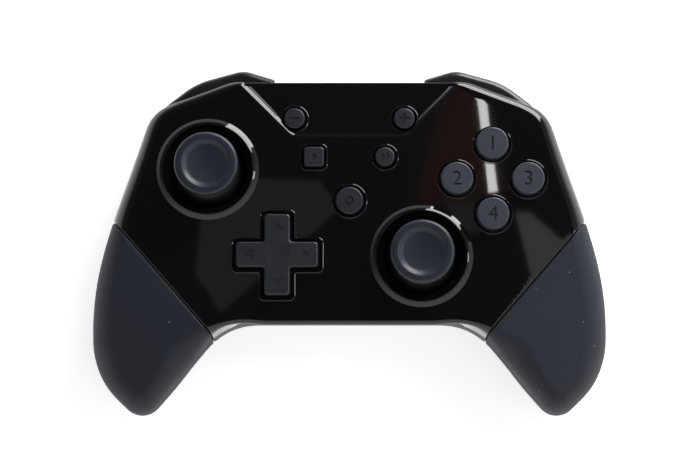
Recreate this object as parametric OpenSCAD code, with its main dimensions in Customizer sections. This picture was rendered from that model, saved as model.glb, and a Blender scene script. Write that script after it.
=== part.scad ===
// Gamepad controller with two thumbsticks, lying on its back with its face up.
// Millimetres. X runs to the right, Y towards the shoulder edge, Z out of the face.
// Z = 0 is the surface that the controller lies on.

/* [Body] */
// Overall width across the grips
body_w = 152; // [148:0.5:158]
// Shoulder edge's distance above the middle
top_y = 46.4; // [45.5:0.1:47]
// Lower edge's distance below the middle, between the grips
waist_y = 23.6; // [22.5:0.1:25]
// How far the front stands out over the lower edge
waist_lip = 2.1; // [0:0.1:2.5]
// Grip tips' distance below the middle
tip_y = 50.3; // [48.5:0.1:53]
// Half the distance between the grip tips
tip_x = 61.1; // [60:0.1:62.5]
// Height of the face above the surface
face_z = 34; // [34:0.25:36]
// Height of the line where front and back shells part
parting_z = 21; // [20.5:0.25:21.5]
// Shell wall thickness
wall = 2; // [1.6:0.1:2.2]
// Gap between parts that fit together
fit_gap = 0.2; // [0.15:0.05:0.25]

/* [Grips] */
// Angle of the seam between shell and grip
seam_angle = 49; // [46:0.5:52]
// Distance of the seam's middle from the centre line
seam_x = 54.2; // [53.5:0.1:55]
// Fall of the grip's front from the face to its tip
grip_fall = 9; // [6:0.5:11]

/* [Sticks] */
// Left stick's place across
left_stick_x = -41.5; // [-42.5:0.1:-40.5]
// Left stick's place up the face
left_stick_y = 20; // [19:0.1:21]
// Right stick's place across
right_stick_x = 21; // [20:0.1:22]
// Right stick's place up the face
right_stick_y = -5.7; // [-6.5:0.1:-5]
// Radius of the stick opening
stick_hole_r = 12.9; // [12.6:0.1:13.4]
// Radius of the stick cap
stick_cap_r = 9.3; // [8.6:0.1:9.6]
// Height of the stick cap above the face
stick_rise = 10; // [9.5:0.25:11]
// Stick tilt to each side, in degrees
stick_tilt = 16; // [12:1:16]
// Stick press travel
stick_press = 0.6; // [0.4:0.1:0.6]

/* [Buttons] */
// Middle of the four face buttons, across
face_buttons_x = 41.8; // [41:0.1:42.5]
// Middle of the four face buttons, up the face
face_buttons_y = 17; // [16:0.1:18]
// Distance of each face button from their middle
face_button_step = 10.4; // [10:0.1:10.6]
// Radius of a face button
face_button_r = 4.8; // [4.6:0.1:5.3]
// Height of a pressed face button above the face
face_button_proud = 1.1; // [0.8:0.1:1.4]
// Face button travel
face_button_travel = 1.5; // [1:0.1:1.6]
// Middle of the direction pad, across
dpad_x = -21; // [-22:0.1:-20]
// Middle of the direction pad, up the face
dpad_y = -5.5; // [-6.5:0.1:-4.5]
// Direction pad's length across
dpad_span = 23.8; // [22:0.2:24.4]
// Width of a direction pad arm
dpad_arm_w = 7.4; // [6.8:0.1:7.8]
// Radius of the plus and minus buttons
menu_button_r = 3.1; // [2.8:0.1:3.3]
// Plus and minus buttons' distance from the centre line
menu_button_x = 16.1; // [15.6:0.1:16.4]
// Radius of the home button
home_button_r = 4.1; // [3.8:0.1:4.4]
// Radius of the turbo button
turbo_button_r = 2.9; // [2.6:0.1:3.1]
// Width of the square capture button
capture_button_w = 5.8; // [5.2:0.1:6.2]
// Capture and turbo buttons' distance from the centre line
aux_button_x = 10.4; // [10:0.1:10.8]
// Small button travel
small_button_travel = 0.8; // [0.5:0.1:0.9]
// Height of a pressed small button above the face
small_button_proud = 0.7; // [0.5:0.1:1]

/* [Shoulder controls] */
// Trigger width
trigger_w = 25; // [23:0.5:25.5]
// Radius of the trigger and bumper pins
pin_r = 1.2; // [1:0.05:1.3]
// Bumper press, in degrees
bumper_press_angle = 2.2; // [1.6:0.1:2.6]

/* [Inside] */
// Battery length
battery_l = 44; // [40:0.5:46]
// Battery width
battery_w = 32; // [28:0.5:33]
// Battery thickness
battery_t = 7; // [5:0.25:7.5]
// Radius of a rumble motor
motor_r = 5; // [4.5:0.1:5.2]
// Radius of a rumble weight
weight_r = 6.2; // [5.5:0.1:6.6]
// Circuit board thickness
board_t = 1.4; // [1:0.1:1.6]
// Case screw shank radius
screw_r = 1.2; // [1:0.05:1.3]

/* [Hidden] */
$fn = 48;
half_w = body_w / 2;
left_stick_at = [left_stick_x, left_stick_y];
right_stick_at = [right_stick_x, right_stick_y];
face_buttons_at = [face_buttons_x, face_buttons_y];
dpad_at = [dpad_x, dpad_y];
battery_size = [battery_l, battery_w, battery_t];
face_button_rise = face_button_travel + face_button_proud;
small_button_rise = small_button_travel + small_button_proud;

// Plan outline of the right half: straight edges with rounded corners
top_flat_x = 35;
shoulder_x = 58.6;
shoulder_y = 37.5;
side_bend_y = -13;
hip_y = -38.8;
waist_x = 36.4;
tip_r = 6.1;
// The tip's corner lies below its rounded end
tip_corner_y = -tip_y - 0.46 * tip_r;
seam_y = -12.3;

// How far the back of the belly rises towards the lower edge and the upper sides
belly_rise = 9;
belly_start_y = -10;
belly_end_x = [34, 52];
side_rise = 4;
side_rise_x = [28, 46];
side_rise_y = [-10, 6];
// Length of the grip from the seam to its tip, and the rise of its back near the tip
grip_run = 32;
heel_rise = 2.5;
heel_start = 14;

// Sunken panel between the shoulders
panel_y = 31.2;
panel_x = 17.8;
panel_top_x = 33;
panel_step = 0.5;
panel_slope = 6.8;

// Levels inside
board_low_z = 12.4;
board_high_z = 25;
membrane_t = 0.6;
dome_top_z = face_z - 3.8;
flange_low_z = face_z - 3.7;
flange_top_z = face_z - wall - fit_gap;
panel_low_z = face_z - 4.6;
stick_pivot_z = face_z - 10.5;

// Helpers
function smooth(a, b, t) = let (u = min(1, max(0, (t - a) / (b - a)))) u * u * (3 - 2 * u);
function mix(a, b, t) = a + (b - a) * t;
function unit(v) = v / norm(v);
function turned(v, a) = [v.x * cos(a) - v.y * sin(a), v.x * sin(a) + v.y * cos(a)];

// Points of a corner's round, from the edge before it to the edge after it
function corner_round(before, at, after, r, steps) = let (
    a = unit(before - at), b = unit(after - at),
    half = acos(a * b) / 2,
    centre = at + unit(a + b) * r / sin(half),
    from = at + a * r / tan(half) - centre,
    to = at + b * r / tan(half) - centre,
    way = sign(cross([from.x, from.y, 0], [to.x, to.y, 0]).z)
) [for (i = [0 : steps]) centre + turned(from, way * (180 - 2 * half) * i / steps)];

// An open line of corners, each with a radius, rounded; its two ends stay sharp
function rounded_line(points, radii, steps = 8) = [
    points[0],
    for (i = [1 : len(points) - 2])
        each corner_round(points[i - 1], points[i], points[i + 1], radii[i], steps),
    points[len(points) - 1]
];

// A closed outline of corners, rounded
function rounded_loop(points, radii, steps = 6) = let (n = len(points)) [
    for (i = [0 : n - 1])
        each corner_round(points[(i + n - 1) % n], points[i], points[(i + 1) % n], radii[i], steps)
];

widest_y = -27.9;
upper_line = rounded_line(
    [[0, top_y], [top_flat_x, top_y], [shoulder_x, shoulder_y], [half_w, side_bend_y], [half_w, widest_y]],
    [0, 12, 10, 84, 0]);
lower_line = rounded_line(
    [[0, -waist_y], [waist_x, -waist_y], [tip_x, tip_corner_y], [half_w, hip_y], [half_w, widest_y]],
    [0, 20, tip_r, 24, 0]);

// Distance past the seam, towards the grip's tip
function past_seam(x, y) = (abs(x) - seam_x) * sin(seam_angle) - (y - seam_y) * cos(seam_angle);

// The outline is cut into columns from left to right; a ring runs along the top and back below
columns = 20;
function column_x(i) = half_w * sin(90 * i / columns);
function upper_at(i) = [column_x(i), lookup(abs(column_x(i)), upper_line)];
function lower_at(i) = [column_x(i), lookup(abs(column_x(i)), lower_line)];
outline = [
    for (i = [-columns : columns]) upper_at(i),
    for (i = [columns - 1 : -1 : 1 - columns]) lower_at(i)
];
ring_n = len(outline);
function on_top(j) = j <= 2 * columns;
function inward(j) = let (
    t = unit(outline[(j + 1) % ring_n] - outline[(j + ring_n - 1) % ring_n])
) [t.y, -t.x];

// Height of the front and the back over a point of the plan
function front_z(p) = face_z - grip_fall * pow(max(0, past_seam(p.x, p.y)) / grip_run, 1.5);
function back_z(p) =
    belly_rise * smooth(belly_start_y, -waist_y, p.y) * (1 - smooth(belly_end_x[0], belly_end_x[1], abs(p.x)))
    + side_rise * smooth(side_rise_x[0], side_rise_x[1], abs(p.x))
        * smooth(side_rise_y[0], side_rise_y[1], p.y)
    + heel_rise * smooth(heel_start, grip_run, past_seam(p.x, p.y));

// Width and height of the edge's round, front and back, at a point of the ring
function grip_share(j) = smooth(-6, 12, past_seam(outline[j].x, outline[j].y));
function tip_share(j) = smooth(16, 4, outline[j].y + tip_y);
function side_share(j) = on_top(j) ? smooth(50, 66, abs(outline[j].x)) : 0;
function front_round(j) = mix(
    mix([1.6, 1.6], [5, 7.5], side_share(j)),
    mix([7.5, 11], [5, 9], tip_share(j)), grip_share(j));
function back_round(j) = mix(
    mix([4, 5], [5.5, 8], side_share(j)),
    mix([7, 11], [5, 9], tip_share(j)), grip_share(j));
// Rounds of the hollow inside stay within the outer ones
function inner_round(r) = [min(r.x * 0.6, 3.6), min(r.y * 0.75, 7)];

// The front stands out over the lower edge, so that the wall below it leans in; this ends before the grips
function lip_share(j) = on_top(j) ? 0 : 1 - smooth(-16, -1, past_seam(outline[j].x, outline[j].y));

// A ring of the body, set in from the outline and raised along the edge's round
function body_ring(inset, thick, front, angle) = [
    for (j = [0 : ring_n - 1]) let (
        full = front ? front_round(j) : back_round(j),
        r = inset > 0 ? inner_round(full) : full,
        lip = front ? waist_lip * lip_share(j) : 0,
        p = outline[j] + inward(j) * (inset - lip + r.x * (1 - cos(angle))),
        drop = thick + r.y * (1 - sin(angle))
    ) [p.x, p.y, front ? front_z(p) - drop : back_z(p) + drop]
];

// Flat ring at the parting line
function parting_ring(inset, z) = [
    for (j = [0 : ring_n - 1]) let (p = outline[j] + inward(j) * inset) [p.x, p.y, z]
];

// Solid through rings, closed at both ends. An end is [front surface or back, depth under it, faces up]
cap_rows = 6;
module ring_solid(rings, first_end, last_end, outward) {
    function low_end(i) = i == columns ? 2 * columns : i == -columns ? 0 : 3 * columns - i;
    function cap_points(ring, end) = [
        for (i = [1 - columns : columns - 1], k = [1 : cap_rows]) let (
            a = ring[low_end(i)], b = ring[i + columns],
            p = mix([a.x, a.y], [b.x, b.y], k / (cap_rows + 1))
        ) [p.x, p.y, end[0] ? front_z(p) - end[1] : back_z(p) + end[1]]
    ];
    function cap_index(i, k, ring_start, cap_start) =
        k == cap_rows + 1 || abs(i) == columns ? ring_start + i + columns
        : k == 0 ? ring_start + low_end(i)
        : cap_start + (i + columns - 1) * cap_rows + k - 1;
    function cap_faces(ring_start, cap_start, up) = [
        for (i = [-columns : columns - 1], k = [0 : cap_rows]) let (
            a = cap_index(i, k, ring_start, cap_start),
            b = cap_index(i, k + 1, ring_start, cap_start),
            c = cap_index(i + 1, k + 1, ring_start, cap_start),
            d = cap_index(i + 1, k, ring_start, cap_start)
        ) each [
            for (f = i < 0 ? [[a, b, d], [b, c, d]] : [[a, b, c], [a, c, d]])
                if (f[0] != f[1] && f[1] != f[2] && f[2] != f[0]) up ? f : [f[2], f[1], f[0]]
        ]
    ];
    n = len(rings) - 1;
    rings_n = (n + 1) * ring_n;
    side_faces = [
        for (k = [0 : n - 1], j = [0 : ring_n - 1]) let (
            a = k * ring_n + j, b = k * ring_n + (j + 1) % ring_n,
            c = b + ring_n, d = a + ring_n
        ) each outward ? [[a, c, d], [a, b, c]] : [[d, c, a], [c, b, a]]
    ];
    polyhedron(
        points = concat(
            [for (r = rings) each r], cap_points(rings[0], first_end), cap_points(rings[n], last_end)),
        faces = concat(
            side_faces,
            cap_faces(0, rings_n, first_end[2]),
            cap_faces(n * ring_n, rings_n + (2 * columns - 1) * cap_rows, last_end[2])));
}

// Whole body between its front and back, with its outline set in by a wall
outer_steps = [90, 60, 30, 0];
inner_steps = [90, 0];
module body_solid(inset = 0) {
    steps = inset > 0 ? inner_steps : outer_steps;
    ring_solid(
        [
            for (a = steps) body_ring(inset, inset, false, a),
            for (k = [len(steps) - 1 : -1 : 0]) body_ring(inset, inset, true, steps[k])
        ],
        [false, inset, false], [true, inset, true], true);
}

// Hollow half of the body, from the parting line to its front or back
module cup(front) {
    z = parting_z + (front ? fit_gap / 2 : -fit_gap / 2);
    ring_solid(
        [
            for (a = outer_steps) body_ring(0, 0, front, a),
            parting_ring(0, z),
            parting_ring(wall, z),
            for (k = [len(inner_steps) - 1 : -1 : 0]) body_ring(wall, wall, front, inner_steps[k])
        ],
        [front, 0, front], [front, wall, !front], !front);
}

// Solid through a list of sections with the same number of points, with flat ends
module skin(sections) {
    m = len(sections[0]);
    n = len(sections);
    polyhedron(
        points = [for (s = sections) each s],
        faces = [
            for (k = [0 : n - 2], j = [0 : m - 1]) let (
                a = k * m + j, b = k * m + (j + 1) % m
            ) each [[a, b + m, b], [a, a + m, b + m]],
            for (j = [1 : m - 2]) [0, j, j + 1],
            for (j = [1 : m - 2]) let (o = (n - 1) * m) [o, o + j + 1, o + j]
        ]);
}

// Round wire along a path of points, with flat ends
function wire_frame(path, i) = unit(path[min(i + 1, len(path) - 1)] - path[max(i - 1, 0)]);
module wire(path, r, sides = 8) {
    skin([
        for (i = [0 : len(path) - 1]) let (
            t = wire_frame(path, i),
            u = unit(cross(t, abs(t.z) < 0.9 ? [0, 0, 1] : [1, 0, 0])),
            v = cross(t, u)
        ) [for (k = [0 : sides - 1]) path[i] + r * (cos(360 * k / sides) * u + sin(360 * k / sides) * v)]
    ]);
}

module at(p, z = 0) {
    translate([p.x, p.y, z]) children();
}

module mirrored(side) {
    mirror([side < 0 ? 1 : 0, 0, 0]) children();
}

// Cylinder lying along X or Y, with its middle at the origin
module bar_x(r, l) {
    rotate([0, 90, 0]) cylinder(r = r, h = l, center = true);
}
module bar_y(r, l) {
    rotate([90, 0, 0]) cylinder(r = r, h = l, center = true);
}

// Half of space past the seam, on the grip's side
big = 200;
module past_seam_half(side, gap) {
    mirrored(side) translate([seam_x, seam_y, -big / 2]) rotate(seam_angle - 90)
        translate([gap, -big / 2, 0]) cube([big, big, big]);
}

// Case screws: two by the lower edge, two beside the panel, two at the sides
panel_post_x = 23.2;
panel_post_from_top = 9.4;
function panel_post(s) = [s * panel_post_x, top_y - panel_post_from_top];
lower_post_at = [38, -9];
side_post_at = [58, 8];
case_screw_at = [
    for (s = [-1, 1]) each [
        [s * lower_post_at.x, lower_post_at.y], panel_post(s), [s * side_post_at.x, side_post_at.y]]
];
post_r = 3;
screw_head_r = 2.3;
screw_head_z = 4.4;
boss_r = screw_head_r + 1.9;
screw_top_z = parting_z + 7;
board_screw_at = [[-46, -12], [46, -12]];

// Front shell
collar_w = 2;
collar_h = 1;
stick_bowl_r = stick_hole_r - 2;
stick_bowl_depth = 3.9;
bumper_low_z = 19.2;
bumper_top_z = face_z - 4;
dpad_gap = 0.9;
button_gap = 0.45;
face_button_at = [for (a = [90, 180, 0, 270]) face_buttons_at + face_button_step * [cos(a), sin(a)]];
menu_button_y = 35.1;
aux_button_y = 23.5;
home_button_y = 10.5;

module front_shell() {
    color("#0d0e10") difference() {
        union() {
            difference() {
                cup(true);
                for (s = [-1, 1]) past_seam_half(s, -fit_gap / 2);
            }
            // Thicker wall behind the sunken panel
            translate([0, 0, panel_low_z]) linear_extrude(face_z - panel_low_z - 0.3) polygon([
                [-panel_x, panel_y], [-panel_top_x + 2, top_y - 2.2], [panel_top_x - 2, top_y - 2.2],
                [panel_x, panel_y]]);
            for (p = [left_stick_at, right_stick_at]) at(p, face_z) stick_collar();
            for (p = [left_stick_at, right_stick_at]) at(p, face_z - stick_bowl_depth)
                cylinder(r = stick_hole_r + 0.6, h = stick_bowl_depth - wall / 2);
            for (p = case_screw_at) at(p, parting_z + fit_gap / 2)
                cylinder(r = post_r, h = face_z - wall - parting_z + 0.5);
            for (s = [-1, 1]) mirrored(s) front_tab();
        }
        panel_cut();
        // Round the sticks: a wide hole above, a bowl, and a narrower hole below
        for (p = [left_stick_at, right_stick_at]) at(p, face_z - stick_bowl_depth) {
            translate([0, 0, -1]) cylinder(r = stick_bowl_r, h = big);
            translate([0, 0, 0.7]) cylinder(r1 = stick_bowl_r, r2 = stick_hole_r, h = 1.7);
            translate([0, 0, 2.4]) cylinder(r = stick_hole_r, h = big);
        }
        for (p = face_button_at) at(p, parting_z) cylinder(r = face_button_r + button_gap, h = big);
        for (s = [-1, 1]) at([s * menu_button_x, menu_button_y], parting_z)
            cylinder(r = menu_button_r + button_gap, h = big);
        at([0, home_button_y], parting_z) cylinder(r = home_button_r + button_gap, h = big);
        at([aux_button_x, aux_button_y], parting_z) cylinder(r = turbo_button_r + button_gap, h = big);
        at([-aux_button_x, aux_button_y], parting_z) linear_extrude(big)
            rounded_square(capture_button_w + 2 * button_gap, 1.2);
        at(dpad_at, parting_z + 6) linear_extrude(big) cross_shape(dpad_span + 2 * dpad_gap,
            dpad_arm_w + 2 * dpad_gap, 1);
        for (p = case_screw_at) at(p, 0) cylinder(r = screw_r + 0.05, h = screw_top_z + 0.5);
        for (s = [-1, 1]) mirrored(s) {
            bumper_room();
            at(bumper_pin_at, 0) cylinder(r = pin_r + 0.05, h = bumper_pin_top_z + 0.1);
        }
    }
}

module stick_collar() {
    rotate_extrude() polygon([
        [stick_hole_r - 1, -wall / 2], [stick_hole_r + collar_w, -wall / 2], [stick_hole_r + collar_w, 0.05],
        [stick_hole_r + collar_w * 0.85, collar_h * 0.5], [stick_hole_r + collar_w * 0.6, collar_h * 0.85],
        [stick_hole_r + collar_w * 0.3, collar_h], [stick_hole_r - 1, collar_h]]);
}

module panel_cut() {
    translate([0, panel_y, face_z - panel_step]) rotate([-panel_slope, 0, 0]) translate([0, -panel_y, 0])
        linear_extrude(20) polygon([[-panel_x, panel_y], [-panel_top_x - 3, top_y + 4],
            [panel_top_x + 3, top_y + 4], [panel_x, panel_y]]);
}

module rounded_square(w, r) {
    polygon(rounded_loop([[-w / 2, -w / 2], [w / 2, -w / 2], [w / 2, w / 2], [-w / 2, w / 2]], [r, r, r, r]));
}

// Cross with rounded ends, about the origin
module cross_shape(span, arm, r) {
    polygon(rounded_loop(
        [for (q = [0 : 3]) each [
            for (p = [[span / 2, -arm / 2], [span / 2, arm / 2], [arm / 2, arm / 2]]) turned(p, 90 * q)]],
        [for (q = [0 : 3]) each [r, r, 0.8]], 4));
}

// Tabs of the shells that reach into the grips
tab_l = 7;
tab_w = 14;
tab_t = 2;
front_tab_z = face_z - wall - 3.6;
module tab_frame() {
    translate([seam_x, seam_y, 0]) rotate(seam_angle - 90) children();
}
module front_tab() {
    tab_frame() {
        translate([-4, -tab_w / 2, front_tab_z]) cube([4 - fit_gap, tab_w, face_z - wall / 2 - front_tab_z]);
        translate([-4, -tab_w / 2, front_tab_z]) cube([4 + tab_l, tab_w, tab_t]);
    }
}

// Back shell
usb_z = board_low_z + board_t + 1.7;
usb_size = [8.94, 7.3, 3.26];
pairing_x = 15;
pairing_z = usb_z + 0.6;
pairing_r = 1.4;
standoff_r = 2.6;
module back_shell() {
    color("#1d1f22") difference() {
        union() {
            difference() {
                cup(false);
                for (s = [-1, 1]) past_seam_half(s, -fit_gap / 2);
            }
            for (p = case_screw_at) at(p, back_z(p) + wall / 2) {
                cylinder(r = post_r, h = parting_z - fit_gap / 2 - back_z(p) - wall / 2);
                cylinder(r = boss_r, h = screw_head_z);
            }
            for (p = board_screw_at) at(p, wall / 2 + back_z(p))
                cylinder(r = standoff_r, h = board_low_z - wall / 2 - back_z(p));
            for (s = [-1, 1]) {
                // Collars that carry the main board
                at(panel_post(s), wall / 2) cylinder(r = boss_r, h = board_low_z - wall / 2);
                // Ribs beside the battery
                translate([s * (battery_size.x / 2 + 1) - 0.8, 12, wall / 2]) cube([1.6, 10, 6]);
            }
            for (s = [-1, 1]) mirrored(s) back_tab();
        }
        for (p = case_screw_at) at(p, 0) {
            translate([0, 0, -1]) cylinder(r = screw_r + 0.3, h = big);
            translate([0, 0, -1]) cylinder(r = screw_head_r + 0.3, h = screw_head_z + back_z(p) + 1);
        }
        for (p = board_screw_at) at(p, board_low_z - 7) cylinder(r = 1.05, h = 10);
        // Charging opening and pairing button's hole
        translate([0, top_y, usb_z]) cube([usb_size.x + 0.6, 9, usb_size.z + 0.6], center = true);
        translate([pairing_x, top_y, pairing_z]) bar_y(pairing_r + 0.2, 9);
        for (s = [-1, 1]) mirrored(s) {
            bumper_room();
            trigger_room();
            at(grip_screw_at, -1) cylinder(r = 0.95, h = 8);
        }
    }
}

grip_screw_at = [seam_x, seam_y] + turned([3.5, 0], seam_angle - 90);
back_tab_z = 3.9;
module back_tab() {
    tab_frame() {
        translate([-4, -tab_w / 2, 1]) cube([4 - fit_gap, tab_w, back_tab_z + tab_t - 1]);
        translate([-4, -tab_w / 2, back_tab_z]) cube([4 + tab_l, tab_w, tab_t]);
    }
}

// Screws share one shape each
module screw(r, head_r, head_h, l) {
    cylinder(r = head_r, h = head_h);
    cylinder(r = r, h = l);
}
module case_screws() {
    color("#8a8d92") for (p = case_screw_at) at(p, screw_head_z + back_z(p) - 1.8)
        screw(screw_r, screw_head_r, 1.8, screw_top_z - screw_head_z + 1.8 - back_z(p));
}
module grip_screws() {
    color("#8a8d92") for (s = [-1, 1]) mirrored(s) at(grip_screw_at, 0.3)
        screw(0.9, 1.8, 1, back_tab_z + tab_t - 0.6);
}
module board_screws() {
    color("#8a8d92") for (p = board_screw_at) at(p, board_low_z + board_t + 1.2) mirror([0, 0, 1])
        screw(1, 1.9, 1.2, 7.5);
}

// Grips
motor_at = [60, -26.5];
motor_l = 12;
motor_z = 13;
module grip(side) {
    color("#2b2e37") mirrored(side) difference() {
        union() {
            intersection() {
                difference() {
                    body_solid();
                    body_solid(wall);
                }
                past_seam_half(1, fit_gap / 2);
            }
            // Saddle for the rumble motor
            translate([motor_at.x - motor_r - 1.5, motor_at.y - motor_l / 2 + 2, wall / 2])
                cube([2 * motor_r + 3, motor_l - 5, motor_z - wall / 2]);
        }
        at(motor_at, motor_z) bar_y(motor_r + 0.05, motor_l + 8);
        at(grip_screw_at, -1) cylinder(r = 1.1, h = 5);
        at(grip_screw_at, -1) cylinder(r = 2, h = 2.3);
    }
}
module left_grip() {
    grip(-1);
}
module right_grip() {
    grip(1);
}

// Rumble motors and their eccentric weights
shaft_r = 0.75;
weight_l = 5;
module rumble_motor(side) {
    color("#9a9ca0") mirrored(side) at(motor_at, motor_z) difference() {
        bar_y(motor_r, motor_l);
        translate([0, -motor_l / 2, 0]) bar_y(shaft_r + 0.05, 9);
    }
}
module rumble_weight(side) {
    color("#b08d4a") mirrored(side) translate([motor_at.x, motor_at.y - motor_l / 2, motor_z]) {
        translate([0, -1.5, 0]) bar_y(shaft_r, 8.5);
        translate([0, -0.75 - weight_l / 2, 0]) difference() {
            bar_y(weight_r, weight_l);
            translate([-big / 2, -big / 2, 1]) cube(big);
        }
    }
}
module left_rumble_motor() {
    rumble_motor(-1);
}
module right_rumble_motor() {
    rumble_motor(1);
}
module left_rumble_weight() {
    rumble_weight(-1);
}
module right_rumble_weight() {
    rumble_weight(1);
}

// Motor leads: two wires side by side from the motor's back to the main board's edge
lead_r = 0.5;
module motor_lead(side) {
    start = [motor_at.x, motor_at.y + motor_l / 2 + 0.7, motor_z - 3];
    color("#b3312b") mirrored(side) for (d = [-0.6, 0.6]) wire([
        for (p = [[0, 0, 0], [0, 1.2, 0], [-1.6, 3.4, 0.8], [-4.4, 5, 2.2], [-6.6, 5.4, 2.9]])
            start + p + [d, d, 0]], lead_r, 6);
}
module left_motor_lead() {
    motor_lead(-1);
}
module right_motor_lead() {
    motor_lead(1);
}

// Thumbsticks, drawn about their pivot
housing_w = 14;
housing_wall = 1;
carriage_w = housing_w - 2 * housing_wall - 2 * fit_gap;
carriage_wall = 1.5;
yoke_w = carriage_w - 2 * carriage_wall - 0.8;
yoke_wall = 1.1;
trunnion_r = 1;
trunnion_gap = 0.05;
stick_post_r = 1.8;
skirt_r = 12.2;
skirt_t = 1;
// The dome still closes the opening at full tilt
skirt_rest_angle = 48;
skirt_angle = skirt_rest_angle + stick_tilt;
skirt_start_angle = 24;
skirt_steps = 5;
function skirt_turn(i) = mix(skirt_start_angle, skirt_angle, i / skirt_steps);
post_top = stick_rise + 10.5 - 8;
housing_low = board_low_z + board_t - stick_pivot_z;

module square_ring(w, t, h) {
    difference() {
        cube([w, w, h], center = true);
        cube([w - 2 * t, w - 2 * t, h + 1], center = true);
    }
}
module stick_housing() {
    color("#3a3c40") {
        difference() {
            translate([-housing_w / 2, -housing_w / 2, housing_low])
                cube([housing_w, housing_w, 3 - housing_low]);
            translate([0, 0, big / 2 + housing_low + 1.2])
                cube([housing_w - 2 * housing_wall, housing_w - 2 * housing_wall, big], center = true);
        }
        // Click switch under the carriage
        translate([0, 0, housing_low + 1]) cylinder(r = 3, h = -3 - stick_press - 0.1 - housing_low - 1);
    }
}
module stick_carriage() {
    color("#6b6e73") difference() {
        translate([0, 0, -0.25]) square_ring(carriage_w, carriage_wall, 5.5);
        bar_x(trunnion_r + trunnion_gap, big);
    }
}
module stick_yoke() {
    color("#c9c6bd") difference() {
        union() {
            square_ring(yoke_w, yoke_wall, 3);
            for (s = [-1, 1]) translate([s * (yoke_w / 2 + 0.6), 0, 0]) bar_x(trunnion_r, 2.2);
        }
        bar_y(trunnion_r + trunnion_gap, big);
    }
}
module stick_shaft() {
    color("#d8d6cf") {
        translate([0, 0, -2.2]) cylinder(r = stick_post_r, h = post_top + 2.2);
        bar_y(trunnion_r, yoke_w - 0.1);
    }
}
// Cap with its dish, neck and the dome that closes the opening
module stick_cap() {
    top = stick_rise + 10.5;
    color("#17181b") difference() {
        rotate_extrude() polygon([
            [0, 8], [4.6, 11],
            for (i = [0 : skirt_steps]) (skirt_r - skirt_t) * [sin(skirt_turn(i)), cos(skirt_turn(i))],
            for (i = [skirt_steps : -1 : 0]) skirt_r * [sin(skirt_turn(i)), cos(skirt_turn(i))],
            [3.9, skirt_r + 0.4], [3.6, top - 4.6], [4.4, top - 3.7], [stick_cap_r - 0.8, top - 3.1],
            [stick_cap_r, top - 2.4], [stick_cap_r, top - 0.9], [stick_cap_r - 0.3, top - 0.3],
            [stick_cap_r - 1, top], [stick_cap_r - 2, top], [stick_cap_r - 2.7, top - 0.5],
            [stick_cap_r - 4, top - 1.1], [stick_cap_r - 6, top - 1.5], [0, top - 1.7]]);
        translate([0, 0, 7]) cylinder(r = stick_post_r, h = post_top - 7);
    }
}
module stick_place(p) {
    at(p, stick_pivot_z) children();
}
module left_stick_cap() {
    stick_place(left_stick_at) stick_cap();
}
module left_stick_shaft() {
    stick_place(left_stick_at) stick_shaft();
}
module left_stick_yoke() {
    stick_place(left_stick_at) stick_yoke();
}
module left_stick_carriage() {
    stick_place(left_stick_at) stick_carriage();
}
module left_stick_housing() {
    stick_place(left_stick_at) stick_housing();
}
module right_stick_cap() {
    stick_place(right_stick_at) stick_cap();
}
module right_stick_shaft() {
    stick_place(right_stick_at) stick_shaft();
}
module right_stick_yoke() {
    stick_place(right_stick_at) stick_yoke();
}
module right_stick_carriage() {
    stick_place(right_stick_at) stick_carriage();
}
module right_stick_housing() {
    stick_place(right_stick_at) stick_housing();
}

// Direction pad on a cross-shaped spider that rocks in a seat
dpad_rise = 2.4;
dpad_pivot_z = face_z - 5.5;
spider_r = 0.9;
lug_t = 1.2;
lug_at = 2.9;
module dpad() {
    top = face_z + dpad_rise;
    flange_z = face_z - 5;
    color("#131417") at(dpad_at) difference() {
        union() {
            difference() {
                union() {
                    translate([0, 0, flange_z]) linear_extrude(top - 0.6 - flange_z)
                        cross_shape(dpad_span, dpad_arm_w, 1);
                    translate([0, 0, top - 0.7]) linear_extrude(0.7)
                        cross_shape(dpad_span - 0.9, dpad_arm_w - 0.9, 0.8);
                    translate([0, 0, flange_z]) linear_extrude(1.4)
                        cross_shape(dpad_span + 2.4, dpad_arm_w + 4, 1);
                }
                translate([0, 0, flange_z - 1]) cylinder(r = 5, h = 3.4);
            }
            for (s = [-1, 1]) translate([-1.7, s * lug_at - lug_t / 2, dpad_pivot_z - 1.5])
                cube([3.4, lug_t, 4.6]);
        }
        translate([0, 0, dpad_pivot_z]) bar_y(spider_r + 0.05, 9);
        // Thumb dip in the middle
        translate([0, 0, top + 14.4]) sphere(r = 15);
    }
}
module dpad_spider() {
    color("#c9c6bd") at(dpad_at, dpad_pivot_z) {
        bar_x(spider_r, 2 * lug_at + lug_t);
        bar_y(spider_r, 2 * lug_at + lug_t);
    }
}
module dpad_seat() {
    low = board_high_z + board_t;
    color("#3a3c40") at(dpad_at) difference() {
        union() {
            translate([-4.3, -1.5, low]) cube([8.6, 3, membrane_t]);
            for (s = [-1, 1]) translate([s * lug_at - lug_t / 2, -1.5, low])
                cube([lug_t, 3, dpad_pivot_z + 1.2 - low]);
        }
        translate([0, 0, dpad_pivot_z]) bar_x(spider_r + 0.05, 9);
    }
}

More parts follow.
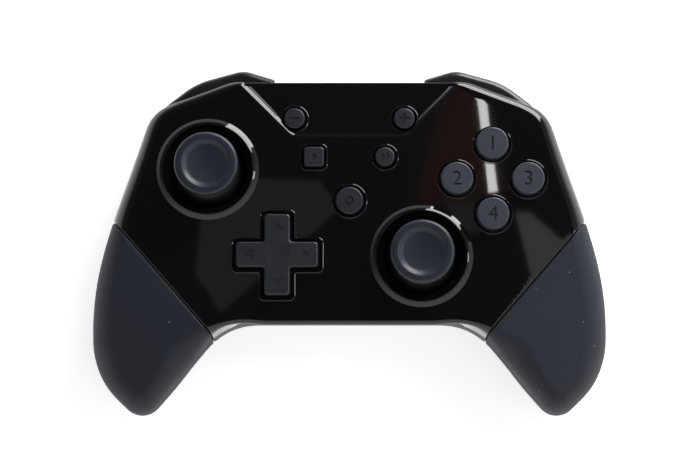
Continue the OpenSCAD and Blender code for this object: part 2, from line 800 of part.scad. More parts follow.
// Round button with a flange that holds it under the shell
flange_w = 1.1;
module round_button(r, low, flange_top, top) {
    edge = min(0.7, r * 0.2);
    rotate_extrude() polygon([
        [0, low], [r + flange_w, low], [r + flange_w, flange_top], [r, flange_top], [r, top - edge],
        [r - edge * 0.3, top - edge * 0.3], [r - edge, top], [0, top]]);
}
module face_button(i) {
    color("#131417") at(face_button_at[i])
        round_button(face_button_r, flange_low_z, flange_top_z, face_z + face_button_rise);
}
module face_button_up() {
    face_button(0);
}
module face_button_left() {
    face_button(1);
}
module face_button_right() {
    face_button(2);
}
module face_button_down() {
    face_button(3);
}
panel_button_top_z = face_z + 0.6;
panel_flange_z = panel_low_z - fit_gap;
module menu_button(side) {
    color("#131417") at([side * menu_button_x, menu_button_y])
        round_button(menu_button_r, panel_flange_z - 1, panel_flange_z, panel_button_top_z);
}
module minus_button() {
    menu_button(-1);
}
module plus_button() {
    menu_button(1);
}
module home_button() {
    color("#131417") at([0, home_button_y])
        round_button(home_button_r, flange_low_z, flange_top_z, face_z + small_button_rise);
}
module turbo_button() {
    color("#131417") at([aux_button_x, aux_button_y])
        round_button(turbo_button_r, flange_low_z, flange_top_z, face_z + small_button_rise);
}
module capture_button() {
    color("#131417") at([-aux_button_x, aux_button_y]) {
        translate([0, 0, flange_low_z]) linear_extrude(flange_top_z - flange_low_z)
            rounded_square(capture_button_w + 2 * flange_w, 1.4);
        translate([0, 0, flange_low_z]) linear_extrude(face_z + small_button_rise - 0.5 - flange_low_z)
            rounded_square(capture_button_w, 1);
        translate([0, 0, face_z]) linear_extrude(small_button_rise)
            rounded_square(capture_button_w - 0.7, 0.8);
    }
}
module pairing_button() {
    color("#131417") translate([pairing_x, top_y, pairing_z]) {
        translate([0, -1.2, 0]) bar_y(pairing_r, 3.6);
        translate([0, -wall - 0.6, 0]) bar_y(pairing_r + 0.5, 0.8);
    }
}

// Shoulder controls, drawn for the right side and mirrored for the left.
// Their frame lies on the slanted shoulder edge: X along it, Y out of it
shoulder_run = [shoulder_x - top_flat_x, shoulder_y - top_y];
shoulder_mid = [top_flat_x, top_y] + shoulder_run / 2;
shoulder_turn = atan2(shoulder_run.y, shoulder_run.x);
module shoulder_frame() {
    translate([shoulder_mid.x, shoulder_mid.y, 0]) rotate(shoulder_turn) children();
}

// Bumper: outer edge seen from the front, and an inner edge inside the shell
bumper_pin_at = [27.2, 42.6];
bumper_pin_top_z = face_z - 3;
bumper_corners = [
    [22, 46.6], [22.2, 47.9], [31.4, 50.7], [45.4, 46.8], [53.4, 40.6], [55.8, 38.35], [55.2, 36.9]
];
bumper_corner_r = [0, 0.8, 8, 22, 12, 0.4, 0];
bumper_outer = rounded_line(bumper_corners, bumper_corner_r, 4);
bumper_inner = [[53.6, 35.2], [51, 36], [34.6, 41.2], [32, 40.9], [22.4, 40.9]];
module bumper_plan() {
    polygon(concat(bumper_outer, bumper_inner));
}
// Room for the bumper in the shells, with its travel: its inner edge as it is when pressed
bumper_gap = 0.4;
bumper_room_gap = 0.8;
bumper_room_mouth = [[21.6, 40.4], [21.6, 60], [58.4, 60], [56.2, 35.4]];
function pressed(p) = bumper_pin_at + turned(p - bumper_pin_at, -bumper_press_angle) - [0, bumper_room_gap];
module bumper_room() {
    translate([0, 0, bumper_low_z - bumper_gap]) linear_extrude(bumper_top_z - bumper_low_z + 2 * bumper_gap)
        polygon(concat(bumper_room_mouth, [for (p = bumper_inner) pressed(p)]));
}
module bumper(side) {
    h = bumper_top_z - bumper_low_z;
    color("#26272b") mirrored(side) difference() {
        union() {
            translate([0, 0, bumper_low_z + 1]) linear_extrude(h - 2) bumper_plan();
            // Rounded upper and lower edges as two steps each
            translate([0, 0, bumper_low_z + 0.4]) linear_extrude(h - 0.8) bumper_step(0.25);
            translate([0, 0, bumper_low_z]) linear_extrude(h) bumper_step(0.8);
        }
        at(bumper_pin_at, 0) cylinder(r = pin_r + 0.06, h = big);
    }
}
// Plan with the outer edge drawn in
module bumper_step(d) {
    polygon(concat([for (p = bumper_outer) p - d * [0.36, 0.93]], bumper_inner));
}
module bumper_pin(side) {
    color("#a9abb0") mirrored(side) at(bumper_pin_at, bumper_pin_low_z)
        cylinder(r = pin_r, h = bumper_pin_top_z - bumper_pin_low_z);
}
module left_bumper() {
    bumper(-1);
}
module right_bumper() {
    bumper(1);
}
module left_bumper_pin() {
    bumper_pin(-1);
}
module right_bumper_pin() {
    bumper_pin(1);
}

// Trigger: a finger piece with a curved front, under a hub on a pin
trigger_x = -2;
trigger_pin_y = -2.5;
trigger_pin_z = 15.2;
trigger_top_z = bumper_low_z - 1.4;
trigger_curve_at = [-9, 9.2];
trigger_curve_r = 14.4;
trigger_back_y = -3;
trigger_front_y = trigger_curve_at[0] + trigger_curve_r;
trigger_end_from = 3;
trigger_end_fall = 4.2;
spring_room_w = 6;
module trigger_profile() {
    polygon(concat(
        [[trigger_back_y - 2.5, trigger_top_z], [trigger_back_y - 2.5, 12.6], [trigger_back_y, 10.5],
            [trigger_back_y, 4.6], [trigger_back_y + 1.2, 3], [1, 1.9]],
        [for (a = [-31 : 6 : 35]) trigger_curve_at + trigger_curve_r * [cos(a), sin(a)]],
        [[2.2, trigger_top_z]]));
}
// A profile of the shoulder frame's Y and Z, drawn out along its X
module along_shoulder(w) {
    rotate([90, 0, 90]) linear_extrude(w, center = true) children();
}
module trigger(side) {
    color("#1b1c1f") mirrored(side) shoulder_frame() translate([trigger_x, 0, 0]) difference() {
        along_shoulder(trigger_w) trigger_profile();
        translate([0, trigger_pin_y, trigger_pin_z]) bar_x(pin_r + 0.06, big);
        // The outer end falls back and stays behind the bumper
        linear_extrude(big) polygon([[trigger_end_from, trigger_front_y],
            [trigger_w / 2, trigger_front_y - trigger_end_fall], [trigger_w, trigger_front_y - trigger_end_fall],
            [trigger_w, trigger_front_y + 10], [trigger_end_from, trigger_front_y + 10]]);
        // Room for the spring
        translate([-spring_room_w / 2, -10, 12]) cube([spring_room_w, 10.6, 10]);
    }
}
module trigger_room() {
    shoulder_frame() translate([trigger_x, 0, -1]) translate([-ear_reach, -7.6, 0])
        cube([2 * ear_reach, 60, bumper_low_z + 0.6]);
}
ear_t = 1.5;
ear_reach = trigger_w / 2 + 0.4 + ear_t + 0.4;
module trigger_pin(side) {
    color("#a9abb0") mirrored(side) shoulder_frame() translate([trigger_x, trigger_pin_y, trigger_pin_z])
        bar_x(pin_r, trigger_w + 0.8 + 2 * ear_t);
}
spring_r = 2.1;
spring_wire_r = 0.35;
spring_turns = 4;
module trigger_spring(side) {
    steps = 14;
    w = spring_room_w - 1.4;
    coil = [
        for (i = [0 : spring_turns * steps]) let (a = 360 * i / steps)
            [w * (i / (spring_turns * steps) - 0.5), spring_r * cos(a), spring_r * sin(a)]];
    color("#b9bbbf") mirrored(side) shoulder_frame() translate([trigger_x, trigger_pin_y, trigger_pin_z])
        wire(concat([[-w / 2, spring_r, -2.6], [-w / 2, spring_r, -1]], coil,
            [[w / 2, spring_r - 0.1, 1.2], [w / 2, spring_r - 0.4, 2]]), spring_wire_r, 6);
}
module left_trigger() {
    trigger(-1);
}
module right_trigger() {
    trigger(1);
}
module left_trigger_pin() {
    trigger_pin(-1);
}
module right_trigger_pin() {
    trigger_pin(1);
}
module left_trigger_spring() {
    trigger_spring(-1);
}
module right_trigger_spring() {
    trigger_spring(1);
}

// Bracket behind the trigger and bumper; its arm sits on a case post
bracket_y = -9.2;
bracket_t = 1.5;
bracket_low_z = 9.5;
ear_low_z = 12;
ear_l = 9.6;
bracket_arm = [[19.2, top_y - 12], [30, 36.6], [33.6, 36.4], [29.6, 44.1], [24.8, 44.2], [19.2, top_y - 5.4]];
bumper_pin_low_z = 16.6;
module shoulder_bracket(side) {
    color("#3a3c40") mirrored(side) difference() {
        union() {
            shoulder_frame() translate([trigger_x, 0, 0]) {
                translate([-ear_reach + 0.4, bracket_y, bracket_low_z])
                    cube([2 * ear_reach - 0.8, bracket_t, 27.8 - bracket_low_z]);
                for (s = [-1, 1])
                    translate([s * (trigger_w / 2 + 0.4 + ear_t / 2) - ear_t / 2, bracket_y, ear_low_z])
                        cube([ear_t, ear_l, bumper_low_z - 0.8 - ear_low_z]);
            }
            // Arm under the bumper, from the plate to the post and the bumper's pin
            translate([0, 0, bumper_pin_low_z]) linear_extrude(bumper_low_z - 0.8 - bumper_pin_low_z)
                polygon(bracket_arm);
        }
        at(panel_post(1), 0) cylinder(r = post_r + 0.1, h = big);
        at(bumper_pin_at, 0) cylinder(r = pin_r + 0.05, h = big);
        shoulder_frame() translate([0, trigger_pin_y, trigger_pin_z]) bar_x(pin_r + 0.05, big);
    }
}
module left_shoulder_bracket() {
    shoulder_bracket(-1);
}
module right_shoulder_bracket() {
    shoulder_bracket(1);
}

// Switch board on the bracket, with a switch behind the trigger and one behind the bumper
module shoulder_board(side) {
    color("#1f4a33") mirrored(side) shoulder_frame() translate([trigger_x, bracket_y + bracket_t, 0]) {
        translate([-10, 0, 10]) cube([20, 1, 17]);
        translate([2, 0.5, 21.5]) cube([5, 1.2, 5]);
        translate([-8, 0.5, 10.4]) cube([5, 1.2, 1.4]);
    }
}
module left_shoulder_board() {
    shoulder_board(-1);
}
module right_shoulder_board() {
    shoulder_board(1);
}

// Rubber membranes with a dome under each button
membrane_z = board_high_z + board_t;
module dome(r, top) {
    cylinder(r1 = r + 0.8, r2 = r, h = top - membrane_z);
}
module face_button_membrane() {
    color("#8d9096") {
        at(face_buttons_at, membrane_z) cylinder(r = 15.3, h = membrane_t);
        for (p = face_button_at) at(p, membrane_z) dome(2.8, dome_top_z);
    }
}
module dpad_membrane() {
    color("#8d9096") at(dpad_at, membrane_z) {
        difference() {
            cylinder(r = 12.6, h = membrane_t);
            translate([0, 0, -1]) cylinder(r = 4.6, h = 4);
        }
        for (a = [0 : 90 : 270]) rotate(a) translate([9.2, 0, 0]) dome(2, dpad_pivot_z + 0.2);
    }
}
module menu_membrane() {
    color("#8d9096") {
        translate([-18.8, 19.2, membrane_z]) cube([37.6, 20, membrane_t]);
        translate([-5.6, 5.4, membrane_z]) cube([11.2, 14.4, membrane_t]);
        for (s = [-1, 1]) {
            at([s * menu_button_x, menu_button_y], membrane_z) dome(1.7, panel_flange_z - 1.1);
            at([s * aux_button_x, aux_button_y], membrane_z) dome(2, dome_top_z);
        }
        at([0, home_button_y], membrane_z) dome(2.4, dome_top_z);
    }
}

// Boards: the right half of each outline, from its lower edge to its upper edge
button_board_half = [[38, -20], [58.5, -2.4], [58.5, 24], [51, 30.4], [26, 36], [20, 41.6]];
main_board_half = [[52, -15.5], [52, 24], [49, 29], [30, 30], [26.4, 34], [26.4, 43.6]];
stick_room_r = 12.6;
function both_sides(half) = concat(half, [for (i = [len(half) - 1 : -1 : 0]) [-half[i].x, half[i].y]]);
module button_board() {
    color("#1f4a33") difference() {
        translate([0, 0, board_high_z]) linear_extrude(board_t) polygon(both_sides(button_board_half));
        for (p = [left_stick_at, right_stick_at]) at(p, 0) cylinder(r = stick_room_r, h = big);
        for (p = case_screw_at) at(p, 0) cylinder(r = post_r + 0.1, h = big);
    }
}
module main_board() {
    top = board_low_z + board_t;
    color("#1f4a33") {
        difference() {
            translate([0, 0, board_low_z]) linear_extrude(board_t) polygon(both_sides(main_board_half));
            for (p = case_screw_at) at(p, 0) cylinder(r = post_r + 0.1, h = big);
            for (p = board_screw_at) at(p, 0) cylinder(r = 1.2, h = big);
        }
        // Soldered parts: processor, radio, lead plug and the pairing switch
        translate([-6, 14, top - 0.2]) cube([12, 12, 1.6]);
        translate([-22, 26, top - 0.2]) cube([8, 6, 1.4]);
        translate([pairing_x - 2, top_y - 6.8, top - 0.2]) cube([4, 2.6, 3.4]);
        translate([-13, -12, board_low_z - 3.6]) cube([6, 4, 3.8]);
    }
}
module usb_socket() {
    color("#a9abb0") translate([0, top_y - usb_size.y / 2 - 0.1, usb_z]) difference() {
        rotate([90, 0, 0]) linear_extrude(usb_size.y, center = true) slot_shape(usb_size.x, usb_size.z);
        translate([0, 0.8, 0]) rotate([90, 0, 0]) linear_extrude(usb_size.y, center = true) difference() {
            slot_shape(8.34, 2.56);
            square([6.7, 0.7], center = true);
        }
    }
}
module slot_shape(w, h) {
    square([w - h, h], center = true);
    for (s = [-1, 1]) translate([s * (w - h) / 2, 0]) circle(r = h / 2);
}

// Battery on the floor of the back shell, and its lead up to the main board
battery_at = [0, 16.4];
battery_z = wall + 0.1;
module battery() {
    color("#4a5a70") translate([0, battery_at.y, battery_z]) rotate([0, 0, 90]) rotate([90, 0, 90])
        linear_extrude(battery_size.y, center = true)
            translate([0, battery_size.z / 2]) slot_shape(battery_size.x, battery_size.z);
}
module battery_lead() {
    y = battery_at.y - battery_size.y / 2;
    color("#b3312b") for (d = [-0.6, 0.6]) wire([
        [-14 + d, y - 0.1, 6], [-14 + d, y - 2.5, 6], [-13 + d, y - 5.5, 6.6], [-11 + d, y - 8, 7.6],
        [-10 + d, y - 10, board_low_z - 4.3]], lead_r, 6);
}

front_shell();
back_shell();
left_grip();
right_grip();
case_screws();
grip_screws();
left_stick_cap();
left_stick_shaft();
left_stick_yoke();
left_stick_carriage();
left_stick_housing();
right_stick_cap();
right_stick_shaft();
right_stick_yoke();
right_stick_carriage();
right_stick_housing();
dpad();
dpad_spider();
dpad_seat();
face_button_up();
face_button_left();
face_button_right();
face_button_down();
minus_button();
plus_button();
home_button();
capture_button();
turbo_button();
pairing_button();
left_bumper();
right_bumper();
left_trigger();
right_trigger();
left_bumper_pin();
right_bumper_pin();
left_trigger_pin();
right_trigger_pin();
left_trigger_spring();
right_trigger_spring();
left_shoulder_bracket();
right_shoulder_bracket();
left_shoulder_board();
right_shoulder_board();
face_button_membrane();
dpad_membrane();
menu_membrane();
button_board();
main_board();
board_screws();
usb_socket();
battery();
battery_lead();
left_rumble_motor();
right_rumble_motor();
left_rumble_weight();
right_rumble_weight();
left_motor_lead();
right_motor_lead();
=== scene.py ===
import math
from functools import lru_cache

import bmesh
import bpy
from mathutils import Matrix, Vector


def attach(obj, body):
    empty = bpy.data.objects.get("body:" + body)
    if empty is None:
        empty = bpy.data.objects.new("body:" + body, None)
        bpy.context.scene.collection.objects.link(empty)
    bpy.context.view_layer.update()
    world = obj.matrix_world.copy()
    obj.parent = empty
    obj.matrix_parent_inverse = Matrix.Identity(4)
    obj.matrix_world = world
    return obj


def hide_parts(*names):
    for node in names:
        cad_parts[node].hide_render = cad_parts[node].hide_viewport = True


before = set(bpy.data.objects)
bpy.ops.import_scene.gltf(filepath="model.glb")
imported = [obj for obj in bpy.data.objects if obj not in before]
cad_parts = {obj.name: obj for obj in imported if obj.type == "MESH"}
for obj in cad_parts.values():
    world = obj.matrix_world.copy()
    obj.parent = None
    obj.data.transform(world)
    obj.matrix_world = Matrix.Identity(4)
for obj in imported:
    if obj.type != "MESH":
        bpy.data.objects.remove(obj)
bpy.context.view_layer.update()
scene = bpy.context.scene
mm = 0.001  # everything below is drawn in millimetres and brought to metres when a piece is finished
halfWidth = 76.0        # of the pad, seen from above
faceCrown = 0.6         # fall of the face from the middle to its sides
photoSize = (700, 467)  # pixels
print("frame loaded:", len(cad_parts), "solids")

# camera: above the pad as it lies on its back, leaning a little towards the player
cameraSetup = {
    "elevation": 81.0,
    "distance": 750.0,
    "aim": (0.15, 0.88, 34.25),
    "lens": 132.4,
    "sensor": 36.0,
}


def placeCamera():
    lean = math.radians(cameraSetup["elevation"])
    back = Vector((0, -math.cos(lean), math.sin(lean)))
    camera = bpy.data.objects.new("camera", bpy.data.cameras.new("camera"))
    camera.data.lens = cameraSetup["lens"]
    camera.data.sensor_width = cameraSetup["sensor"]
    camera.data.sensor_fit = "HORIZONTAL"
    camera.location = (Vector(cameraSetup["aim"]) + back * cameraSetup["distance"]) * mm
    camera.rotation_euler = (-back).to_track_quat("-Z", "Y").to_euler()
    scene.collection.objects.link(camera)
    scene.camera = camera


placeCamera()
scene.view_settings.view_transform = "Standard"
print("camera placed")


# colours and nodes
def linear(hexText):
    parts = [int(hexText[i:i + 2], 16) / 255 for i in (1, 3, 5)]
    return [p / 12.92 if p <= 0.04045 else ((p + 0.055) / 1.055) ** 2.4 for p in parts] + [1.0]


def addNode(tree, kind, settings=None, inputs=None):
    node = tree.nodes.new("ShaderNode" + kind)
    for name, value in (settings or {}).items():
        setattr(node, name, value)
    for name, value in (inputs or {}).items():
        if isinstance(value, bpy.types.NodeSocket):
            tree.links.new(value, node.inputs[name])
        else:
            node.inputs[name].default_value = value
    return node


def calc(tree, operation, *values):
    return addNode(tree, "Math", {"operation": operation}, dict(enumerate(values))).outputs[0]


def mixed(tree, share, a, b):
    return addNode(tree, "Mix", {"data_type": "RGBA"},
                   {"Factor": share, "A": a, "B": b}).outputs["Result"]


def ramp(tree, value, ends, turned=False):
    return addNode(tree, "MapRange", {"interpolation_type": "SMOOTHSTEP"},
                   {"Value": value, "From Min": ends[0], "From Max": ends[1], "To Min": float(turned),
                    "To Max": float(not turned)}).outputs["Result"]


def emptyTree(owner):
    owner.use_nodes = True
    owner.node_tree.nodes.clear()
    return owner.node_tree


# a finish varies between two colours and two roughnesses over patches, and has a grain; in millimetres
def coat(low, high, patch, roughness, grain, depth, **rest):
    return {"colours": (low, high), "patch": patch, "roughness": roughness, "grain": grain, "depth": depth,
            **rest}


finishes = {
    # piano-black ABS from a polished mould: mirror gloss, with the faint waviness of thick plastic
    "polishedAbs": coat("#060607", "#09090b", 26, (0.012, 0.03), 11, 0.002, ior=1.5),
    # soft-touch rubber coat over the grips: matt, fine-grained, with stray pale dust specks
    "softTouchRubber": coat("#191d27", "#20242f", 16, (0.55, 0.7), 0.5, 0.03, ior=1.36,
                            specks=("#7d818c", 3.4, 0.055, 0.62)),
    # spark-textured ABS of the back: even, dull grain
    "texturedAbs": coat("#141517", "#1a1b1e", 20, (0.42, 0.56), 0.45, 0.03, ior=1.5),
    # satin ABS of the bumpers: soft broad highlights
    "satinAbs": coat("#111216", "#18191d", 14, (0.22, 0.3), 0.4, 0.008, ior=1.5),
    # triggers: the same plastic, duller
    "triggerAbs": coat("#17181b", "#1d1e22", 14, (0.34, 0.46), 0.4, 0.012, ior=1.5),
    # buttons and direction pad: fine-blasted ABS, blue-grey
    "buttonAbs": coat("#151920", "#1b1f26", 9, (0.36, 0.46), 0.35, 0.01, ior=1.5),
    # face buttons: the same plastic, a little smoother, made a shade paler as painted light for the light
    # that falls on them
    "faceButtonAbsPaintedLight": coat("#31343c", "#383b44", 9, (0.3, 0.4), 0.35, 0.008, ior=1.5),
    # painted shade: a darker colour put into the engraved marks, for the shade in their recesses
    "markPaintedShade": coat("#0b0c0f", "#101115", 3, (0.5, 0.65), 0.3, 0.008, ior=1.45),
    # domes under the stick caps: dull black ABS
    "domeAbs": coat("#060607", "#09090b", 9, (0.4, 0.5), 0.4, 0.008, ior=1.5),
    # thumbstick caps: moulded silicone rubber, slightly waxy, blue-grey
    "stickRubber": coat("#191e27", "#20252f", 8, (0.33, 0.43), 0.4, 0.014, ior=1.43),
    # nylon parts of the stick modules and brackets
    "nylon": coat("#26282b", "#313338", 8, (0.45, 0.6), 0.5, 0.01, ior=1.53),
    # acetal shafts and yokes: pale and waxy
    "acetal": coat("#bdbab0", "#cac7be", 6, (0.32, 0.42), 0.5, 0.006, ior=1.48),
    # silicone rubber contact mats
    "siliconeMat": coat("#6f7379", "#7c8086", 7, (0.5, 0.62), 0.4, 0.01, ior=1.42),
    # glass-epoxy boards under green solder mask
    "glassEpoxy": coat("#123524", "#1a4a32", 3, (0.28, 0.4), 0.6, 0.006, ior=1.52),
    # zinc-plated steel of screws, pins and springs
    "zincSteel": coat("#8d9094", "#a4a7ab", 2, (0.28, 0.42), 0.3, 0.004, metallic=1.0),
    # nickel-plated steel of the charging socket
    "nickelSteel": coat("#a3a09a", "#b5b2ab", 3, (0.2, 0.3), 0.3, 0.003, metallic=1.0),
    # aluminium-laminate pouch of the battery
    "pouchFoil": coat("#5b6470", "#6a7380", 10, (0.3, 0.44), 2.5, 0.03, metallic=1.0),
    # PVC insulation of the leads
    "pvc": coat("#8f2a25", "#a3322c", 4, (0.38, 0.5), 0.5, 0.006, ior=1.53),
    # drawn steel motor cans
    "motorSteel": coat("#84868a", "#96989c", 3, (0.3, 0.42), 0.3, 0.004, metallic=1.0),
    # sintered brass weights
    "brass": coat("#8c6d34", "#a3824a", 2, (0.34, 0.5), 0.3, 0.01, metallic=1.0),
}


def makeFinish(name, recipe):
    material = bpy.data.materials.new(name)
    tree = emptyTree(material)
    place = addNode(tree, "TexCoord").outputs["Object"]
    patches = addNode(tree, "TexNoise", None,
                      {"Vector": place, "Scale": 1 / (recipe["patch"] * mm), "Detail": 3.0}).outputs["Fac"]
    low, high = (linear(c) for c in recipe["colours"])
    colour = mixed(tree, patches, low, high)
    if "specks" in recipe:  # small pale dots, one in each cell whose random value is high enough
        speckColour, spacing, size, least = recipe["specks"]
        cells = addNode(tree, "TexVoronoi", None, {"Vector": place, "Scale": 1 / (spacing * mm)})
        chosen = calc(tree, "GREATER_THAN", cells.outputs["Color"], least)
        near = calc(tree, "LESS_THAN", cells.outputs["Distance"], size)
        colour = mixed(tree, calc(tree, "MULTIPLY", chosen, near), colour, linear(speckColour))
    smooth, rough = recipe["roughness"]
    dull = addNode(tree, "MapRange", None, {"Value": patches, "To Min": smooth, "To Max": rough})
    grain = addNode(tree, "TexNoise", None,
                    {"Vector": place, "Scale": 1 / (recipe["grain"] * mm), "Detail": 2.0})
    relief = addNode(tree, "Bump", None,
                     {"Height": grain.outputs["Fac"], "Distance": recipe["depth"] * mm, "Strength": 1.0})
    shader = addNode(tree, "BsdfPrincipled", None,
                     {"Base Color": colour, "Roughness": dull.outputs["Result"],
                      "Normal": relief.outputs["Normal"], "Metallic": recipe.get("metallic", 0.0),
                      "IOR": recipe.get("ior", 1.45)})
    addNode(tree, "OutputMaterial", None, {"Surface": shader.outputs["BSDF"]})
    return material


paint = {name: makeFinish(name, recipe) for name, recipe in finishes.items()}
print("finishes mixed:", len(paint))

# studio: white floor, a room that is bright in front and pale at the horizon, a dark ceiling, a window behind
studio = {
    "floorSize": 3000.0,
    "floorColour": "#f0f0f0",
    "floorGlow": 0.63,          # lifts the floor to white for the camera, and keeps the shadow
    "strength": 1.2,
    "ceiling": "#3c3c3f",
    "bandBright": "#ffffff",
    "bandDim": "#5c5c5e",
    "bandWay": (0.25, -0.97, 0.0),  # the band is brighter on this side of the room
    "bandShare": (-0.45, 0.75),
    "bandTop": (0.72, 0.9),     # sine of the elevation where the band ends and the ceiling starts
    "horizon": "#f2f2f2",
    "horizonTop": (0.12, 0.4),
}
# paler fields of the ceiling as the face mirrors them: edges through two points of the photograph, in pixels
ceilingFields = {
    "padSide": {"colour": "#808082", "soft": 2.0, "inside": (260, 230),
                "edges": [((260, 179), (320, 180)), ((318, 179), (333, 200)), ((332, 215), (232, 302)),
                          ((200, 218), (197, 256)), ((198, 276), (224, 317))]},
    "stickSide": {"colour": "#7c7c7c", "soft": 2.5, "inside": (462, 212),
                  "edges": [((440, 196), (474, 199)), ((474, 196), (479, 236)), ((479, 234), (462, 231)),
                            ((462, 231), (441, 197))]},
    "gripSide": {"colour": "#d0d0cc", "soft": 2.0, "inside": (535, 240),
                 "edges": [((514, 211), (530, 211)), ((528, 210), (560, 238)), ((515, 211), (531, 277))]},
    "warm": {"colour": "#7d5544", "soft": 14.0, "inside": (460, 140),
             "edges": [((418, 190), (446, 90)), ((508, 200), (484, 80)), ((420, 205), (510, 195))]},
}
lamps = {
    "window": {"at": (283, 493, 277), "aim": (-10, 20, 33), "size": (400, 400), "power": 5.2},
    "strip": {"at": (111.5, 223, 1034), "aim": (111.5, 223, 0), "size": (7.5, 70), "power": 0.022,
              "turn": 7.5},
    "lampRight": {"at": (417, 60, 436), "aim": (-10, 20, 33), "size": (80, 150), "power": 0.32},
}


def paleRays(tree):
    rays = addNode(tree, "LightPath").outputs
    seen = calc(tree, "MAXIMUM", rays["Is Camera Ray"], rays["Is Glossy Ray"])
    return calc(tree, "MAXIMUM", seen, rays["Is Transmission Ray"])


def makeFloor():
    bm = bmesh.new()
    bmesh.ops.create_grid(bm, x_segments=1, y_segments=1, size=studio["floorSize"] * mm / 2)
    mesh = bpy.data.meshes.new("floor")
    bm.to_mesh(mesh)
    bm.free()
    floor = bpy.data.objects.new("floor", mesh)
    scene.collection.objects.link(floor)
    material = bpy.data.materials.new("paperSweep")
    tree = emptyTree(material)
    paper = addNode(tree, "BsdfDiffuse", None, {"Color": linear(studio["floorColour"])})
    glow = addNode(tree, "Emission", None, {"Strength": studio["floorGlow"]})
    none = addNode(tree, "Emission", None, {"Strength": 0.0})
    lift = addNode(tree, "MixShader", None,
                   {"Fac": paleRays(tree), 1: none.outputs[0], 2: glow.outputs[0]})
    both = addNode(tree, "AddShader", None, {0: paper.outputs[0], 1: lift.outputs[0]})
    addNode(tree, "OutputMaterial", None, {"Surface": both.outputs[0]})
    mesh.materials.append(material)


# where the ray that the flat face mirrors at a pixel goes, as x and y for each unit of height
def mirroredAt(pixel):
    lean = math.radians(cameraSetup["elevation"])
    aim, away = cameraSetup["aim"], cameraSetup["distance"]
    scale = photoSize[0] * cameraSetup["lens"] / cameraSetup["sensor"] / away
    x = (pixel[0] - photoSize[0] / 2) / scale + aim[0]
    y = (photoSize[1] / 2 - pixel[1]) / scale / math.sin(lean) + aim[1]
    height = away * math.sin(lean)
    spread = 4 * faceCrown / halfWidth ** 2  # the crowned face spreads the rays sideways
    return Vector((x / height + spread * x, (y - aim[1] + away * math.cos(lean)) / height))


def ceilingField(tree, field, spot):
    middle = Vector(photoSize) / 2
    soft = field["soft"] * (mirroredAt(middle + Vector((1, 0))) - mirroredAt(middle)).x
    inside = mirroredAt(field["inside"])
    share = 1.0
    for a, b in field["edges"]:
        a, b = mirroredAt(a), mirroredAt(b)
        across = Vector((a.y - b.y, b.x - a.x)).normalized()
        if across.dot(inside - a) < 0:
            across = -across
        fromY = calc(tree, "MULTIPLY_ADD", spot[1], across.y, -across.dot(a))
        past = calc(tree, "MULTIPLY_ADD", spot[0], across.x, fromY)
        share = calc(tree, "MULTIPLY", share, ramp(tree, past, (-soft, soft)))
    return share


def makeWorld():
    world = bpy.data.worlds.new("studio")
    scene.world = world
    tree = emptyTree(world)
    way = addNode(tree, "TexCoord").outputs["Generated"]
    split = addNode(tree, "SeparateXYZ", None, {"Vector": way})
    height = split.outputs["Z"]
    spot = [calc(tree, "DIVIDE", split.outputs[axis], height) for axis in ("X", "Y")]
    ceiling = linear(studio["ceiling"])
    for field in ceilingFields.values():
        ceiling = mixed(tree, ceilingField(tree, field, spot), ceiling, linear(field["colour"]))
    side = addNode(tree, "VectorMath", {"operation": "DOT_PRODUCT"}, {0: way, 1: studio["bandWay"]})
    band = mixed(tree, ramp(tree, side.outputs["Value"], studio["bandShare"]), linear(studio["bandDim"]),
                 linear(studio["bandBright"]))
    walls = mixed(tree, ramp(tree, height, studio["horizonTop"], True), band, linear(studio["horizon"]))
    room = mixed(tree, ramp(tree, height, studio["bandTop"]), walls, ceiling)
    rays = addNode(tree, "LightPath")
    lit = addNode(tree, "Background", None, {"Color": room, "Strength": studio["strength"]})
    white = addNode(tree, "Background", None, {"Color": linear("#ffffff"), "Strength": 1.0})
    seen = addNode(tree, "MixShader", None,
                   {"Fac": rays.outputs["Is Camera Ray"], 1: lit.outputs[0], 2: white.outputs[0]})
    addNode(tree, "OutputWorld", None, {"Surface": seen.outputs[0]})


def hangLamps():
    for name, lamp in lamps.items():
        light = bpy.data.lights.new(name, "AREA")
        light.shape = "RECTANGLE"
        light.size, light.size_y = (side * mm for side in lamp["size"])
        light.energy = lamp["power"]
        hung = bpy.data.objects.new(name, light)
        hung.location = Vector(lamp["at"]) * mm
        aim = (Vector(lamp["aim"]) * mm - hung.location).to_track_quat("-Z", "Y").to_matrix()
        hung.rotation_euler = (Matrix.Rotation(math.radians(lamp.get("turn", 0)), 3, "Z") @ aim).to_euler()
        scene.collection.objects.link(hung)


makeFloor()
makeWorld()
hangLamps()
print("studio ready")


# small helpers for shapes
def smoothStep(low, high, value):
    t = min(1.0, max(0.0, (value - low) / (high - low)))
    return t * t * (3 - 2 * t)


def between(a, b, t):
    return tuple(x + (y - x) * t for x, y in zip(a, b))


def roundedLine(corners, radii, steps=12):
    points = [Vector(corners[0])]
    for before, at, after, radius in zip(corners, corners[1:], corners[2:], radii[1:]):
        at = Vector(at)
        if radius == 0:
            points.append(at)
            continue
        a = (Vector(before) - at).normalized()
        b = (Vector(after) - at).normalized()
        half = a.angle(b) / 2
        centre = at + (a + b).normalized() * radius / math.sin(half)
        start = at + a * radius / math.tan(half) - centre
        end = at + b * radius / math.tan(half) - centre
        turn = math.copysign(math.pi - 2 * half, start.x * end.y - start.y * end.x)
        points += [centre + Matrix.Rotation(turn * i / steps, 2) @ start for i in range(steps + 1)]
    return points + [Vector(corners[-1])]


def roundedLoop(corners, radii, steps=8):
    return roundedLine([corners[-1], *corners, corners[0]], [0, *radii, 0], steps)[1:-1]


